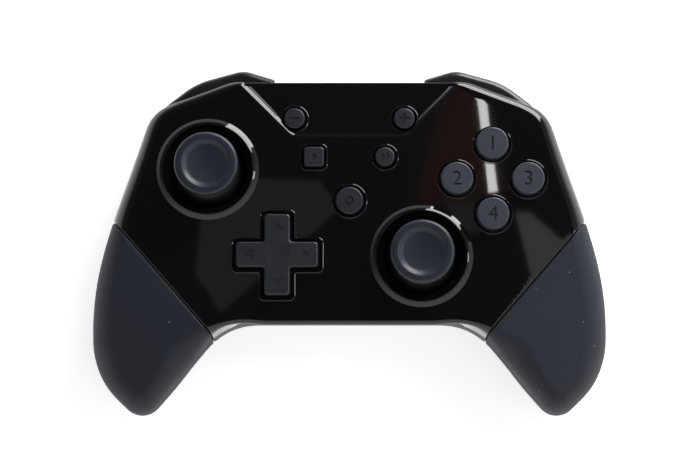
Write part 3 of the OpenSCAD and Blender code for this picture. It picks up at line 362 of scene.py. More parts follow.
def lathe(bm, profile, spot=(0, 0, 0), steps=96, closed=False, follow=False):
    older = set(bm.verts)
    verts = [bm.verts.new((spot[0] + r, spot[1], spot[2] + z)) for r, z in profile]
    edges = [bm.edges.new(pair) for pair in zip(verts, verts[1:])]
    if closed:
        edges.append(bm.edges.new((verts[-1], verts[0])))
    bmesh.ops.spin(bm, geom=verts + edges, cent=spot, axis=(0, 0, 1), angle=math.tau, steps=steps,
                   use_merge=True, use_duplicate=False)
    if follow:  # leans with the face, which falls a little towards the sides
        for vert in set(bm.verts) - older:
            vert.co.z += surfaceZ(vert.co.x, vert.co.y, True) - surfaceZ(spot[0], spot[1], True)


def stackLoops(bm, loops, closed=False):
    ring = [bm.verts.new(p) for p in loops[0]]
    edges = [bm.edges.new((ring[i - 1], ring[i])) for i in range(len(ring))]
    first = edges
    if not closed:
        bm.faces.new(ring)
    for loop in loops[1:]:
        grown = bmesh.ops.extrude_edge_only(bm, edges=edges)["geom"]
        fresh = {v for v in grown if isinstance(v, bmesh.types.BMVert)}
        ring = [next(e.other_vert(v) for e in v.link_edges if e.other_vert(v) in fresh) for v in ring]
        for vert, spot in zip(ring, loop):
            vert.co = spot
        edges = [e for e in grown if isinstance(e, bmesh.types.BMEdge) and all(v in fresh for v in e.verts)]
    if closed:  # a ring: the last loop meets the first
        bmesh.ops.bridge_loops(bm, edges=first + edges)
    else:
        bm.faces.new(ring)


def placed(outline, spot, z):
    return [(spot[0] + p[0], spot[1] + p[1], z) for p in outline]


def prism(bm, outline, spot, low, high):
    stackLoops(bm, [placed(outline, spot, z) for z in (low, high)])


def drill(bm, radius, low, high, spot, steps):
    lathe(bm, [(0, low), (radius, low), (radius, high), (0, high)], spot, steps)


def box(bm, low, high, place=None):
    grown = bmesh.ops.create_cube(bm, size=1.0)["verts"]
    bmesh.ops.scale(bm, vec=[b - a for a, b in zip(low, high)], verts=grown)
    bmesh.ops.translate(bm, vec=[(a + b) / 2 for a, b in zip(low, high)], verts=grown)
    if place is not None:
        bmesh.ops.transform(bm, matrix=place, verts=grown)


def sliced(bm, spot, normal, **clear):
    bmesh.ops.bisect_plane(bm, geom=bm.verts[:] + bm.edges[:] + bm.faces[:], dist=1e-5, plane_co=spot,
                           plane_no=normal, **clear)


def openEdges(bm):
    return [e for e in bm.edges if e.is_boundary]


def joinInto(bm, part):
    mesh = bpy.data.meshes.new("part")
    part.to_mesh(mesh)
    part.free()
    bm.from_mesh(mesh)
    bpy.data.meshes.remove(mesh)


def draftObject(bm, name):
    bmesh.ops.remove_doubles(bm, verts=bm.verts, dist=1e-4)
    bmesh.ops.recalc_face_normals(bm, faces=bm.faces)
    mesh = bpy.data.meshes.new(name)
    bm.to_mesh(mesh)
    bm.free()
    draft = bpy.data.objects.new(name, mesh)
    scene.collection.objects.link(draft)
    return draft


def discard(draft):
    mesh = draft.data
    bpy.data.objects.remove(draft)
    bpy.data.meshes.remove(mesh)


def cutAway(bm, cutters):
    draft, tool = draftObject(bm, "draft"), draftObject(cutters, "tool")
    modifier = draft.modifiers.new("cut", "BOOLEAN")
    modifier.object = tool
    modifier.operation = "DIFFERENCE"
    modifier.solver = "EXACT"
    bpy.context.view_layer.update()
    result = bmesh.new()
    result.from_object(draft, bpy.context.evaluated_depsgraph_get())
    discard(draft)
    discard(tool)
    return result


# cuts away what a function draws
def cutWith(bm, draw, *settings):
    cutters = bmesh.new()
    draw(cutters, *settings)
    return cutAway(bm, cutters)


def mirrorX(bm):
    bmesh.ops.scale(bm, vec=(-1, 1, 1), verts=bm.verts)
    bmesh.ops.reverse_faces(bm, faces=bm.faces)


markShadeBand = (0.08, 0.6)  # faces this far below the top take the painted shade of the marks


def finishPiece(name, bm, finish, body, stoodFor, sharp=38, marks=None):
    if marks:  # painted shade: what is sunk below the top, within a radius, takes the marks' darker colour
        spot, radius, top = marks
        for face in bm.faces:
            middle = face.calc_center_median()
            sunk = markShadeBand[0] < top - middle.z < markShadeBand[1]
            if sunk and (middle.xy - Vector(spot)).length < radius:
                face.material_index = 1
    draft = draftObject(bm, name)
    mesh = draft.data
    mesh.transform(Matrix.Scale(mm, 4))
    for face in mesh.polygons:
        face.use_smooth = True
    mesh.set_sharp_from_angle(angle=math.radians(sharp))
    mesh.materials.append(paint[finish])
    if marks:
        # second colour: painted shade for the sunk marks
        mesh.materials.append(paint["markPaintedShade"])
    even = draft.modifiers.new("evenNormals", "WEIGHTED_NORMAL")
    even.keep_sharp = True
    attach(draft, body)
    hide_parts(*stoodFor)
    print("piece", name, len(mesh.polygons), "faces")
    return draft


# body: the plan outline's right half, and the surfaces that the shells and grips follow
bodyShape = {
    "upperCorners": [(0, 46.4), (35, 46.4), (58.6, 37.5), (halfWidth, -13), (halfWidth, -27.9)],
    "upperRadii": [0, 12, 10, 84, 0],
    "lowerCorners": [(0, -23.6), (36.4, -23.6), (61.1, -53.08), (halfWidth, -38.8), (halfWidth, -27.9)],
    "lowerRadii": [0, 20, 6.1, 24, 0],
    "tipY": -50.3,
    "faceZ": 34.0,
    "partingZ": 21.0,
    "partingGap": 0.2,
    # rims as width and height, and where one goes over into the next
    "frontRims": {"plain": (1.6, 1.6), "shoulder": (3.2, 2.4), "side": (5, 7.5), "grip": (7.5, 11),
                  "tip": (5, 9)},
    "backRims": {"plain": (4, 5), "shoulder": (4, 5), "side": (5.5, 8), "grip": (7, 11), "tip": (5, 9)},
    "shoulderX": (31, 37),
    "sideX": (50, 66),
    "gripPast": (-6, 12),
    "tipRise": (16, 4),
    "waistLip": 2.1,            # how far the face stands out over the lower edge
    "lipPast": (-16, -1),
    "gripFall": 9.0,
    "gripRun": 32.0,
    "belly": {"rise": 9.0, "y": (-10, -23.6), "x": (34, 52)},
    "flanks": {"rise": 4.0, "x": (28, 46), "y": (-10, 6)},
    "gripLift": 2.5,
    "gripLiftFrom": 14.0,
    "gripWall": 1.6,
    "shellRoll": 0.5,           # of the edges along the seam
    "gripRoll": 0.7,
    "seamSpot": (54.2, -12.3),
    "seamAngle": 49.0,
    "seamGap": 0.2,
    "overlap": 4.0,             # how far the shells' surface is drawn on past the seam before the cut
    "skin": 1.3,                # wall that the visible shells get
    "columns": 190,
    "rows": 96,
    "capShare": 0.72,           # rows of the face; the rest go round the rim and down the wall
    "rimShare": 0.786,
}
upperLine = roundedLine(bodyShape["upperCorners"], bodyShape["upperRadii"], 40)
lowerLine = roundedLine(bodyShape["lowerCorners"], bodyShape["lowerRadii"], 40)
seamTurn = math.radians(bodyShape["seamAngle"])


def heightOn(line, x):
    for a, b in zip(line, line[1:]):
        if a.x <= x < b.x:
            return a.y + (b.y - a.y) * (x - a.x) / (b.x - a.x)
    return line[-1].y


def pastSeam(x, y):
    spot = bodyShape["seamSpot"]
    return (abs(x) - spot[0]) * math.sin(seamTurn) - (y - spot[1]) * math.cos(seamTurn)


@lru_cache(None)
def ringPoint(s):
    s = (s + 1) % 4 - 1  # -1 to 1 runs along the top from left to right, 1 to 3 back below
    upper = s <= 1
    x = halfWidth * math.sin(math.radians(90 * (s if upper else 2 - s)))
    return Vector((x, heightOn(upperLine if upper else lowerLine, abs(x))))


@lru_cache(None)
def inward(s):
    run = ringPoint(round(s + 0.03, 6)) - ringPoint(round(s - 0.03, 6))
    return Vector((run.y, -run.x)).normalized()


@lru_cache(None)
def rimSize(s, front):
    spot, rims = ringPoint(s), bodyShape["frontRims" if front else "backRims"]
    upper = s <= 1
    shoulder = smoothStep(*bodyShape["shoulderX"], abs(spot.x)) if upper else 0
    side = smoothStep(*bodyShape["sideX"], abs(spot.x)) if upper else 0
    grip = smoothStep(*bodyShape["gripPast"], pastSeam(*spot))
    tip = smoothStep(*bodyShape["tipRise"], spot.y - bodyShape["tipY"])
    shell = between(between(rims["plain"], rims["shoulder"], shoulder), rims["side"], side)
    return between(shell, between(rims["grip"], rims["tip"], tip), grip)


def surfaceZ(x, y, front, whole=False):
    past = pastSeam(x, y) if whole else min(pastSeam(x, y), bodyShape["overlap"])
    if front:
        fall = bodyShape["gripFall"] * (max(0.0, past) / bodyShape["gripRun"]) ** 1.5
        return bodyShape["faceZ"] - faceCrown * (x / halfWidth) ** 2 - fall
    belly, flanks = bodyShape["belly"], bodyShape["flanks"]
    z = belly["rise"] * smoothStep(*belly["y"], y) * (1 - smoothStep(*belly["x"], abs(x)))
    z += flanks["rise"] * smoothStep(*flanks["x"], abs(x)) * smoothStep(*flanks["y"], y)
    return z + bodyShape["gripLift"] * smoothStep(bodyShape["gripLiftFrom"], bodyShape["gripRun"], past)


def lipShare(s):
    return 0 if s <= 1 else 1 - smoothStep(*bodyShape["lipPast"], pastSeam(*ringPoint(s)))


@lru_cache(None)
def rimPoint(s, angle, front, whole):
    wide, high = rimSize(s, front)
    turn = math.radians(angle)
    lip = bodyShape["waistLip"] * lipShare(s) if front else 0
    spot = ringPoint(s) + inward(s) * (wide * (1 - math.cos(turn)) - lip)
    drop = high * (1 - math.sin(turn))
    z = surfaceZ(spot.x, spot.y, front, whole)
    return Vector((spot.x, spot.y, z - drop if front else z + drop))


def skinPoint(u, w, front, partingZ, whole):
    u = round(u, 6)
    cap, rim = bodyShape["capShare"], bodyShape["rimShare"]
    if abs(w) <= cap + 1e-6:
        low, top = rimPoint(round(2 - u, 6), 90, front, whole), rimPoint(u, 90, front, whole)
        spot = low.lerp(top, (w / cap + 1) / 2)
        spot.z = surfaceZ(spot.x, spot.y, front, whole)
        return spot
    s = u if w > 0 else round(2 - u, 6)
    t = (abs(w) - cap) / (1 - cap)
    if t <= rim:
        return rimPoint(s, round(90 * (1 - t / rim), 4), front, whole)
    foot = rimPoint(s, 0, front, whole).copy()
    if whole:  # low tips: both halves meet below the parting plane
        partingZ = min(partingZ, (rimPoint(s, 0, True, True).z + rimPoint(s, 0, False, True).z) / 2)
    end = Vector((*ringPoint(s), partingZ))
    return foot.lerp(end, (t - rim) / (1 - rim))


def halfSkin(front, partingZ, whole):
    bm = bmesh.new()
    bmesh.ops.create_grid(bm, x_segments=bodyShape["columns"], y_segments=bodyShape["rows"], size=1.0)
    for vert in bm.verts:
        vert.co = skinPoint(vert.co.x, vert.co.y, front, partingZ, whole)
    bmesh.ops.remove_doubles(bm, verts=bm.verts, dist=1e-4)
    if not front:
        bmesh.ops.reverse_faces(bm, faces=bm.faces)
    return bm


def drawIn(bm, wall):
    bm.normal_update()
    shifts = {v: v.normal * wall for v in bm.verts}
    for vert, shift in shifts.items():
        vert.co -= shift


# half of the body as a closed block, drawn in by a wall on all sides but the parting plane
def halfBlock(front, partingZ, wall=0.0):
    bm = halfSkin(front, partingZ, False)
    rim = openEdges(bm)
    if wall:  # the inner block goes on a little past the parting plane
        drawIn(bm, wall)
        for edge in rim:
            for vert in edge.verts:
                vert.co.z = partingZ + (-1 if front else 1)
    bmesh.ops.holes_fill(bm, edges=rim)
    return bm


# the whole body as a closed block
def wholeBlock(wall=0.0):
    bm = halfSkin(True, bodyShape["partingZ"], True)
    joinInto(bm, halfSkin(False, bodyShape["partingZ"], True))
    bmesh.ops.remove_doubles(bm, verts=bm.verts, dist=1e-3)
    if wall:
        drawIn(bm, wall)
    return bm


# cuts a hollow piece along the seam, rolls the edge over and closes the wall
def trimAtSeam(bm, side, keepGrip, roll, partingZ=None):
    toGrip = Vector((side * math.sin(seamTurn), -math.cos(seamTurn), 0))
    onSeam = Vector((side * bodyShape["seamSpot"][0], bodyShape["seamSpot"][1], 0))
    away = 1 if keepGrip else -1
    gap = bodyShape["seamGap"] / 2
    for step in (0, 0.04, 0.12, 0.25, 0.45, 0.7, 1.0):
        sliced(bm, onSeam + toGrip * away * (gap + step * roll), toGrip,
               clear_inner=keepGrip and step == 0, clear_outer=not keepGrip and step == 0)
    bm.normal_update()
    drops = {}
    for vert in bm.verts:
        rest = roll - max((vert.co - onSeam).dot(toGrip) * away - gap, 0.0)
        if rest > 0:
            drops[vert] = vert.normal * (roll - math.sqrt(max(0.0, roll * roll - rest * rest)))
            if partingZ is not None and abs(vert.co.z - partingZ) < 1e-3:
                drops[vert].z = 0
    for vert, drop in drops.items():
        vert.co -= drop
    if keepGrip:
        bmesh.ops.bridge_loops(bm, edges=openEdges(bm))
    else:
        bmesh.ops.holes_fill(bm, edges=openEdges(bm))


# holes with a rolled rim, up through the face or down through the back
holeFit = {
    "gap": 0.45,                # round a button
    "roll": 0.25,
    "flare": (2.0, 0.65),       # how the cut goes on, out and up, past the roll
    "depth": 9.0,
    "above": 4.0,
}


def rollSteps(roll):
    turns = [math.radians(a) for a in range(180, 107, -8)]
    steps = [(roll + roll * math.cos(a), roll * math.sin(a) - roll) for a in turns]
    out, up = steps[-1]
    out += holeFit["flare"][0]
    return steps + [(out, up + holeFit["flare"][1]), (out, holeFit["above"])]


def holeCutter(bm, spot, radius, roll=holeFit["roll"], front=True, depth=holeFit["depth"]):
    way = 1 if front else -1
    rim = [(radius + out, up) for out, up in rollSteps(roll)]
    profile = [(0, -depth), (radius, -depth), *rim, (0, holeFit["above"])]
    lathe(bm, [(r, way * h) for r, h in profile], (*spot, surfaceZ(*spot, front)), follow=front)


def loopCutter(bm, outline, spot):
    levels = [(0.0, -holeFit["depth"]), *rollSteps(holeFit["roll"])]
    stackLoops(bm, [[(x, y, surfaceZ(x, y, True) + up) for x, y, z in placed(outline(out), spot, 0)]
                    for out, up in levels])


# controls on the face
sticks = {"left": (-41.5, 20.0), "right": (21.0, -5.7)}
stickShape = {
    "holeRadius": 12.9,
    "collarWidth": 2.0,
    "collarHeight": 1.05,
    "collarLap": 0.35,          # the collar's foot stands on the face by this much
    "pivotZ": 23.5,
    "capRadius": 9.3,
    "capTop": 20.5,             # above the pivot
    "domeRadius": 12.2,
    "domeWall": 1.0,
    "domeAngle": 64,
    "bowlRadius": 10.9,
    "bowlDepth": 3.9,
}
faceButtons = {
    "up": {"at": (41.8, 27.4), "mark": "1"},
    "left": {"at": (31.4, 17.0), "mark": "2"},
    "right": {"at": (52.2, 17.0), "mark": "3"},
    "down": {"at": (41.8, 6.6), "mark": "4"},
}
faceButtonShape = {"radius": 4.8, "low": 30.3, "flangeTop": 31.8, "top": 36.6, "edge": 0.45, "dome": 0.05,
                   "taper": 0.12, "markSize": 6.0, "markDepth": 0.3, "markReach": 3.4}
smallButtons = {
    "minus": {"at": (-16.1, 35.1), "radius": 3.1, "low": 28.2, "flangeTop": 29.2, "top": 34.6},
    "plus": {"at": (16.1, 35.1), "radius": 3.1, "low": 28.2, "flangeTop": 29.2, "top": 34.6},
    "home": {"at": (0.0, 10.5), "radius": 4.1, "low": 30.3, "flangeTop": 31.8, "top": 35.5},
    "turbo": {"at": (10.4, 23.5), "radius": 2.9, "low": 30.3, "flangeTop": 31.8, "top": 35.5},
}
smallButtonShape = {"edge": 0.45, "dome": 0.05, "taper": 0.1, "markDepth": 0.28, "markRim": 0.8,
                    "bar": (3.0, 0.55), "barCorner": 0.05, "ring": (0.75, 1.25), "chevron": (0.605, 1.1),
                    "chevronLine": 0.5, "chevronsAt": (-0.55, 0.75)}
captureShape = {"at": (-10.4, 23.5), "width": 5.8, "corner": 1.0, "holeCorner": 1.2, "low": 30.3,
                "flangeTop": 31.8, "top": 35.5, "edge": 0.5, "dot": 0.7, "markDepth": 0.25, "markReach": 1.2}
flange = 1.1       # how far the foot of a button reaches out under the face
cornerShare = 0.6  # of an edge's roll, by which the corners seen from above get tighter
padShape = {"at": (-21.0, -5.5), "span": 23.8, "arm": 7.4, "corner": 1.0, "inner": 0.8, "gap": 0.9,
            "low": 29.0, "flangeTop": 30.4, "top": 36.4, "edge": 0.6, "flange": (2.4, 4.0), "holeInner": 0.5,
            "dipRadius": 6.0, "dipDepth": 0.2, "dipCurve": 80.0, "markDepth": 0.22,
            "mark": ((9.3, 0), (7.2, 1.45), (7.2, -1.45))}
panelShape = {"y": 32.1, "x": 15.9, "topX": 30.2, "topY": 46.4, "floorY": 31.2, "step": 0.5, "slope": 6.8,
              "corner": 2.2, "reach": 58.0, "wallRoll": 3.0, "flare": (2.4, 0.75), "depth": 9.0, "above": 6.0,
              "edgeRoll": 0.45, "edgeX": 31.0, "edgeRoom": (1.0, 2.0, 8.0), "shoulder": (35.0, 46.4),
              "shoulderTurn": -20.66, "shoulderRun": 26.0, "clear": 3.0, "apex": 7.5, "farCorner": 0.5}


def crossOutline(span, arm, corner, inner):
    corners, radii = [], []
    for quarter in range(4):
        turn = Matrix.Rotation(math.radians(90 * quarter), 2)
        for point, radius in (((span / 2, -arm / 2), corner), ((span / 2, arm / 2), corner),
                              ((arm / 2, arm / 2), inner)):
            corners.append(turn @ Vector(point))
            radii.append(radius)
    return roundedLoop(corners, radii, 6)


def padHole(d):
    grow = 2 * (padShape["gap"] + d)
    return crossOutline(padShape["span"] + grow, padShape["arm"] + grow, padShape["corner"] + d,
                        padShape["holeInner"])


def squareOutline(width, corner):
    h = width / 2
    return roundedLoop([(-h, -h), (h, -h), (h, h), (-h, h)], [corner] * 4)


def captureHole(d):
    return squareOutline(captureShape["width"] + 2 * (holeFit["gap"] + d), captureShape["holeCorner"] + d)


# the sunken panel's outline, drawn out by d; its floor falls towards the shoulder edge
def panelOutline(d):
    shape = panelShape
    run = Vector((shape["topX"] - shape["x"], shape["topY"] - shape["y"])).normalized()
    start = Vector((shape["x"], shape["y"])) + Vector((run.y, -run.x)) * d
    foot = start + run * ((shape["y"] - d - start.y) / run.y)
    turn = math.radians(shape["shoulderTurn"])
    along = Vector((math.cos(turn), math.sin(turn)))
    out = Vector((-along.y, along.x))
    edge = Vector(shape["shoulder"]) + out * (shape["clear"] - d)
    head = start + run * ((edge - start).dot(out) / run.dot(out))
    tail = head + along * shape["shoulderRun"]
    half = [(foot, shape["corner"] + d), (head, shape["apex"] - d), (tail, shape["farCorner"]),
            (Vector((tail.x, shape["reach"])), shape["farCorner"])]
    loop = half + [(Vector((-p.x, p.y)), r) for p, r in reversed(half)]
    return roundedLoop([p for p, r in loop], [r for p, r in loop], 10)


def panelFloor(y):
    fall = math.tan(math.radians(panelShape["slope"]))
    return bodyShape["faceZ"] - panelShape["step"] - fall * (y - panelShape["floorY"])


# height of the face or, inside the panel, of its floor
def faceAt(x, y):
    return surfaceZ(x, y, True) if y < panelShape["y"] - panelShape["wallRoll"] else panelFloor(y)


def panelCutter(bm, sink=0.0):
    face, roll, flare = bodyShape["faceZ"], panelShape["wallRoll"], panelShape["flare"]
    turns = [math.radians(8 * i) for i in range(10)]
    levels = [(roll - roll * math.cos(a), face - roll + roll * math.sin(a)) for a in turns]
    out, up = levels[-1]
    levels += [(out + flare[0], up + flare[1]), (out + flare[0], face + panelShape["above"])]
    levels.insert(0, (0.0, face - panelShape["depth"]))
    part = bmesh.new()
    stackLoops(part, [placed(panelOutline(d + sink), (0, 0), z) for d, z in levels])
    slope = math.radians(panelShape["slope"])
    sliced(part, (0, panelShape["floorY"], face - panelShape["step"] - sink),
           (0, math.sin(slope), math.cos(slope)), clear_inner=True)
    bmesh.ops.holes_fill(part, edges=openEdges(part))
    joinInto(bm, part)


# rolls the panel's far edge down to the shoulder wall
def panelEdgeCutter(bm):
    roll, y = panelShape["edgeRoll"], panelShape["topY"]
    near, far, above = panelShape["edgeRoom"]
    z = panelFloor(y - roll)
    turns = [math.radians(90 - 9 * i) for i in range(11)]
    arc = [(y - roll + roll * math.cos(a), z - roll + roll * math.sin(a)) for a in turns]
    side = [(y - roll - near, panelFloor(y - roll - near)), *arc, (y + far, z - roll), (y + far, z + above),
            (y - roll - near, z + above)]
    stackLoops(bm, [[(x, *p) for p in side] for x in (-panelShape["edgeX"], panelShape["edgeX"])])


# shoulder controls, drawn for the right side
bumperShape = {
    "corners": [(22, 46.6), (22.2, 47.9), (31.4, 50.7), (45.4, 46.8), (53.4, 40.6), (55.8, 38.35),
                (55.2, 36.9)],
    "radii": [0, 0.8, 8, 22, 12, 0.4, 0],
    "inner": [(53.6, 35.2), (51, 36), (34.6, 41.2), (32, 40.9), (22.4, 40.9)],
    "low": 19.2,
    "top": 30.0,
    "lowEdge": [(0, 0.9), (0.15, 0.45), (0.5, 0.15), (1.0, 0)],  # rise, and how far it is drawn in
    "topRoll": (2.0, 1.7),
    "pin": (27.2, 42.6),
    "pinRadius": 1.26,
    "bore": (10, 40),
    "room": [(21.6, 40.4), (21.6, 60), (58.4, 60), (56.2, 35.4), (53.3, 33.4), (50.7, 34.3), (34.5, 40.1),
             (31.9, 39.9), (22.3, 40.3)],
    "gap": 0.4,
}
triggerShape = {
    "spot": (46.8, 41.95),
    "turn": -20.66,
    "middle": -2.0,
    "width": 25.0,
    "room": ((-14.8, -7.6, -2.0), (14.8, 40.0, 0.6)),  # about the middle; its top is above the bumper's foot
    "springRoom": ((-3.0, -10.0, 12.0), (3.0, 0.6, 22.0)),
    "back": [(-5.5, 17.8), (-5.5, 12.6), (-3, 10.5), (-3, 4.6), (-1.8, 3), (1, 1.9)],
    "arcCentre": (-9, 9.2),
    "arcRadius": 14.4,
    "arcFrom": -31,
    "arcTo": 35,
    "front": (2.2, 17.8),
    "endFrom": (1.0, 5.4),      # the front falls back from here to the outer end
    "endTo": (10.5, 1.2),
    "bevel": 0.9,
    "bevelFrom": -2.5,          # edges farther back stay sharp
    "pin": (-2.5, 15.2),
    "pinRadius": 1.26,
    "bore": 20.0,
}
shoulderFrame = Matrix.Translation((triggerShape["spot"][0], triggerShape["spot"][1], 0)) @ Matrix.Rotation(
    math.radians(triggerShape["turn"]), 4, "Z")


def bumperRooms(bm):
    gap = bumperShape["gap"]
    for side in (-1, 1):
        room = [(side * x, y) for x, y in bumperShape["room"]]
        prism(bm, room, (0, 0), bumperShape["low"] - gap, bumperShape["top"] + gap)


# a box given about the trigger's middle
def triggerBox(bm, corners, lift=0.0, place=None):
    (x, y, z), (farX, farY, farZ) = corners
    middle = triggerShape["middle"]
    box(bm, (middle + x, y, z), (middle + farX, farY, farZ + lift), place)


# front shell
def faceHoles(bm):
    depth, above, gap = -holeFit["depth"], holeFit["above"], holeFit["gap"]
    for spot in sticks.values():
        radius = stickShape["holeRadius"] + stickShape["collarWidth"] - stickShape["collarLap"]
        drill(bm, radius, depth, above, (*spot, surfaceZ(*spot, True)), 128)
    for button in faceButtons.values():
        holeCutter(bm, button["at"], faceButtonShape["radius"] + gap)
    for name in ("home", "turbo"):
        holeCutter(bm, smallButtons[name]["at"], smallButtons[name]["radius"] + gap)
    loopCutter(bm, padHole, padShape["at"])
    loopCutter(bm, captureHole, captureShape["at"])
    for name in ("minus", "plus"):
        button = smallButtons[name]
        drill(bm, button["radius"] + gap, depth, above, (*button["at"], bodyShape["faceZ"]), 72)


def makeFrontShell():
    partingZ, skin = bodyShape["partingZ"] + bodyShape["partingGap"] / 2, bodyShape["skin"]
    shell = cutWith(halfBlock(True, partingZ), panelCutter)
    shell = cutAway(shell, cutWith(halfBlock(True, partingZ, skin), panelCutter, skin))
    for draw in (panelEdgeCutter, bumperRooms, faceHoles):
        shell = cutWith(shell, draw)
    for side in (-1, 1):
        trimAtSeam(shell, side, False, bodyShape["shellRoll"], partingZ)
    for spot in sticks.values():
        addCollar(shell, spot)
    for button in faceButtons.values():
        addBead(shell, roundHole(faceButtonShape["radius"] + holeFit["gap"]), button["at"])
    for name in ("home", "turbo", "minus", "plus"):
        addBead(shell, roundHole(smallButtons[name]["radius"] + holeFit["gap"]), smallButtons[name]["at"])
    addBead(shell, padHole, padShape["at"])
    addBead(shell, captureHole, captureShape["at"])
    finishPiece("frontShell", shell, "polishedAbs", "case", ["front_shell"], 12)


def circle(radius, steps):
    turns = [i * math.tau / steps for i in range(steps)]
    return [Vector((math.cos(a), math.sin(a))) * radius for a in turns]


def roundHole(radius):
    return lambda d: circle(radius + d, 96)


# fine raised bead round a hole, which catches the light
bead = {"radius": 0.3, "out": 0.42, "sunk": 0.06, "steps": 14}


def addBead(bm, outline, spot):
    loops = []
    for out, up in circle(bead["radius"], bead["steps"]):
        ring = placed(outline(bead["out"] + out), spot, up - bead["sunk"])
        loops.append([(x, y, faceAt(x, y) + z) for x, y, z in ring])
    stackLoops(bm, loops, True)


# raised collar round a stick, and the bowl inside it
def addCollar(bm, spot):
    hole, wide, high = stickShape["holeRadius"], stickShape["collarWidth"], stickShape["collarHeight"]
    bowl, deep = stickShape["bowlRadius"], stickShape["bowlDepth"]
    crest = roundedLine([(hole + wide + 0.1, -0.6), (hole + wide + 0.1, 0.03),
                         (hole + wide * 0.55, high * 0.72), (hole + 0.45, high), (hole, high * 0.9),
                         (hole, -1.5), (bowl, 0.7 - deep), (bowl, -deep), (hole + 0.2, -deep + 0.6),
                         (hole + 0.6, -1.2)],
                        [0, 0.05, 1.6, 0.5, 0.35, 0.8, 0.3, 0.1, 0.1, 0], 8)
    lathe(bm, crest, (*spot, surfaceZ(*spot, True)), 160, closed=True, follow=True)


makeFrontShell()


bothSides = ((-1, "left"), (1, "right"))


# grips: rubber-coated shells past the seams
def makeGrip(side, name):
    grip = cutAway(wholeBlock(), wholeBlock(bodyShape["gripWall"]))
    trimAtSeam(grip, side, True, bodyShape["gripRoll"])
    finishPiece(name + "Grip", grip, "softTouchRubber", "case", [name + "_grip"])


for side, name in bothSides:
    makeGrip(side, name)

# back shell
backShape = {
    "screws": [(38, -9), (23.2, 37), (58, 8)],
    "screwRadius": 2.6,
    "screwRoll": 0.3,
    "screwDepth": 3.0,
    "socketAt": (0, 46.4, 15.5),
    "socketSize": (9.54, 3.86),
    "socketCorner": 1.6,
    "pairingAt": (15, 46.4, 16.1),
    "pairingRadius": 1.6,
    "wallRoom": (-5, 5),        # before and behind the shoulder wall, for the two cuts through it
}


def backHoles(bm):
    for side in (-1, 1):
        flip = Matrix.Scale(side, 4, (1, 0, 0)) @ shoulderFrame
        triggerBox(bm, triggerShape["room"], bumperShape["low"], flip)
    for side in (-1, 1):
        for x, y in backShape["screws"]:
            holeCutter(bm, (side * x, y), backShape["screwRadius"], backShape["screwRoll"], False,
                       backShape["screwDepth"])
    wide, high = (size / 2 for size in backShape["socketSize"])
    slot = roundedLoop([(-wide, -high), (wide, -high), (wide, high), (-wide, high)],
                       [backShape["socketCorner"]] * 4)
    for (x, y, z), outline in ((backShape["socketAt"], slot),
                               (backShape["pairingAt"], circle(backShape["pairingRadius"], 40))):
        stackLoops(bm, [[(x + p.x, y + d, z + p.y) for p in outline] for d in backShape["wallRoom"]])


def makeBackShell():
    partingZ = bodyShape["partingZ"] - bodyShape["partingGap"] / 2
    shell = cutAway(halfBlock(False, partingZ), halfBlock(False, partingZ, bodyShape["skin"]))
    for draw in (bumperRooms, backHoles):
        shell = cutWith(shell, draw)
    for side in (-1, 1):
        trimAtSeam(shell, side, False, bodyShape["shellRoll"], partingZ)
    finishPiece("backShell", shell, "texturedAbs", "case", ["back_shell"])


makeBackShell()


# thumbstick caps with dish and neck, and the domes under them
def makeStickCap(name, spot):
    top, r, dome = stickShape["capTop"], stickShape["capRadius"], stickShape["domeRadius"]
    cap = roundedLine([(4.2, dome - 1.0), (3.8, dome + 0.6), (3.6, top - 4.4), (r - 0.7, top - 3.2),
                       (r, top - 2.3), (r, top), (r - 2.2, top), (r - 3.5, top - 0.8), (0, top - 1.8)],
                      [0, 0.8, 1.2, 0.7, 0.8, 1.1, 1.3, 2.8, 0], 10)
    bm = bmesh.new()
    lathe(bm, [(0, dome - 1.0), *cap], (*spot, stickShape["pivotZ"]), 128)
    finishPiece(name + "StickCap", bm, "stickRubber", name + "_stick", [name + "_stick_cap"])


def makeStickDome(name, spot):
    dome = stickShape["domeRadius"]
    under = dome - stickShape["domeWall"]
    turns = [math.radians(a) for a in range(0, stickShape["domeAngle"] + 1, 4)]
    outside = [(dome * math.sin(a), dome * math.cos(a)) for a in turns]
    inside = [(under * math.sin(a), under * math.cos(a)) for a in reversed(turns)]
    bm = bmesh.new()
    lathe(bm, outside + inside, (*spot, stickShape["pivotZ"]), 128)
    finishPiece(name + "StickDome", bm, "domeAbs", name + "_stick", [name + "_stick_cap"])


for name, spot in sticks.items():
    makeStickCap(name, spot)
    makeStickDome(name, spot)


# engraved marks
def textMark(text, spot, size, depth):
    curve = bpy.data.curves.new("mark", "FONT")
    curve.body = text
    curve.size = size
    curve.align_x, curve.align_y = "CENTER", "CENTER"
    curve.extrude = depth
    draft = bpy.data.objects.new("mark", curve)
    scene.collection.objects.link(draft)
    bpy.context.view_layer.update()
    mesh = bpy.data.meshes.new_from_object(draft.evaluated_get(bpy.context.evaluated_depsgraph_get()))
    bm = bmesh.new()
    bm.from_mesh(mesh)
    middle = [(min(v.co[i] for v in bm.verts) + max(v.co[i] for v in bm.verts)) / 2 for i in range(2)]
    bmesh.ops.translate(bm, vec=(spot[0] - middle[0], spot[1] - middle[1], spot[2]), verts=bm.verts)
    bpy.data.objects.remove(draft)
    bpy.data.curves.remove(curve)
    bpy.data.meshes.remove(mesh)
    return bm


def roundButton(button, shape, steps):
    radius, foot, top = button["radius"], button["flangeTop"], button["top"]
    shoulder = roundedLine([(radius, foot), (radius - shape["taper"], top - shape["dome"]), (0, top)],
                           [0, shape["edge"], 0], 10)
    bm = bmesh.new()
    lathe(bm, [(0, button["low"]), (radius + flange, button["low"]), (radius + flange, foot), *shoulder],
          (*button["at"], 0), steps)
    return bm


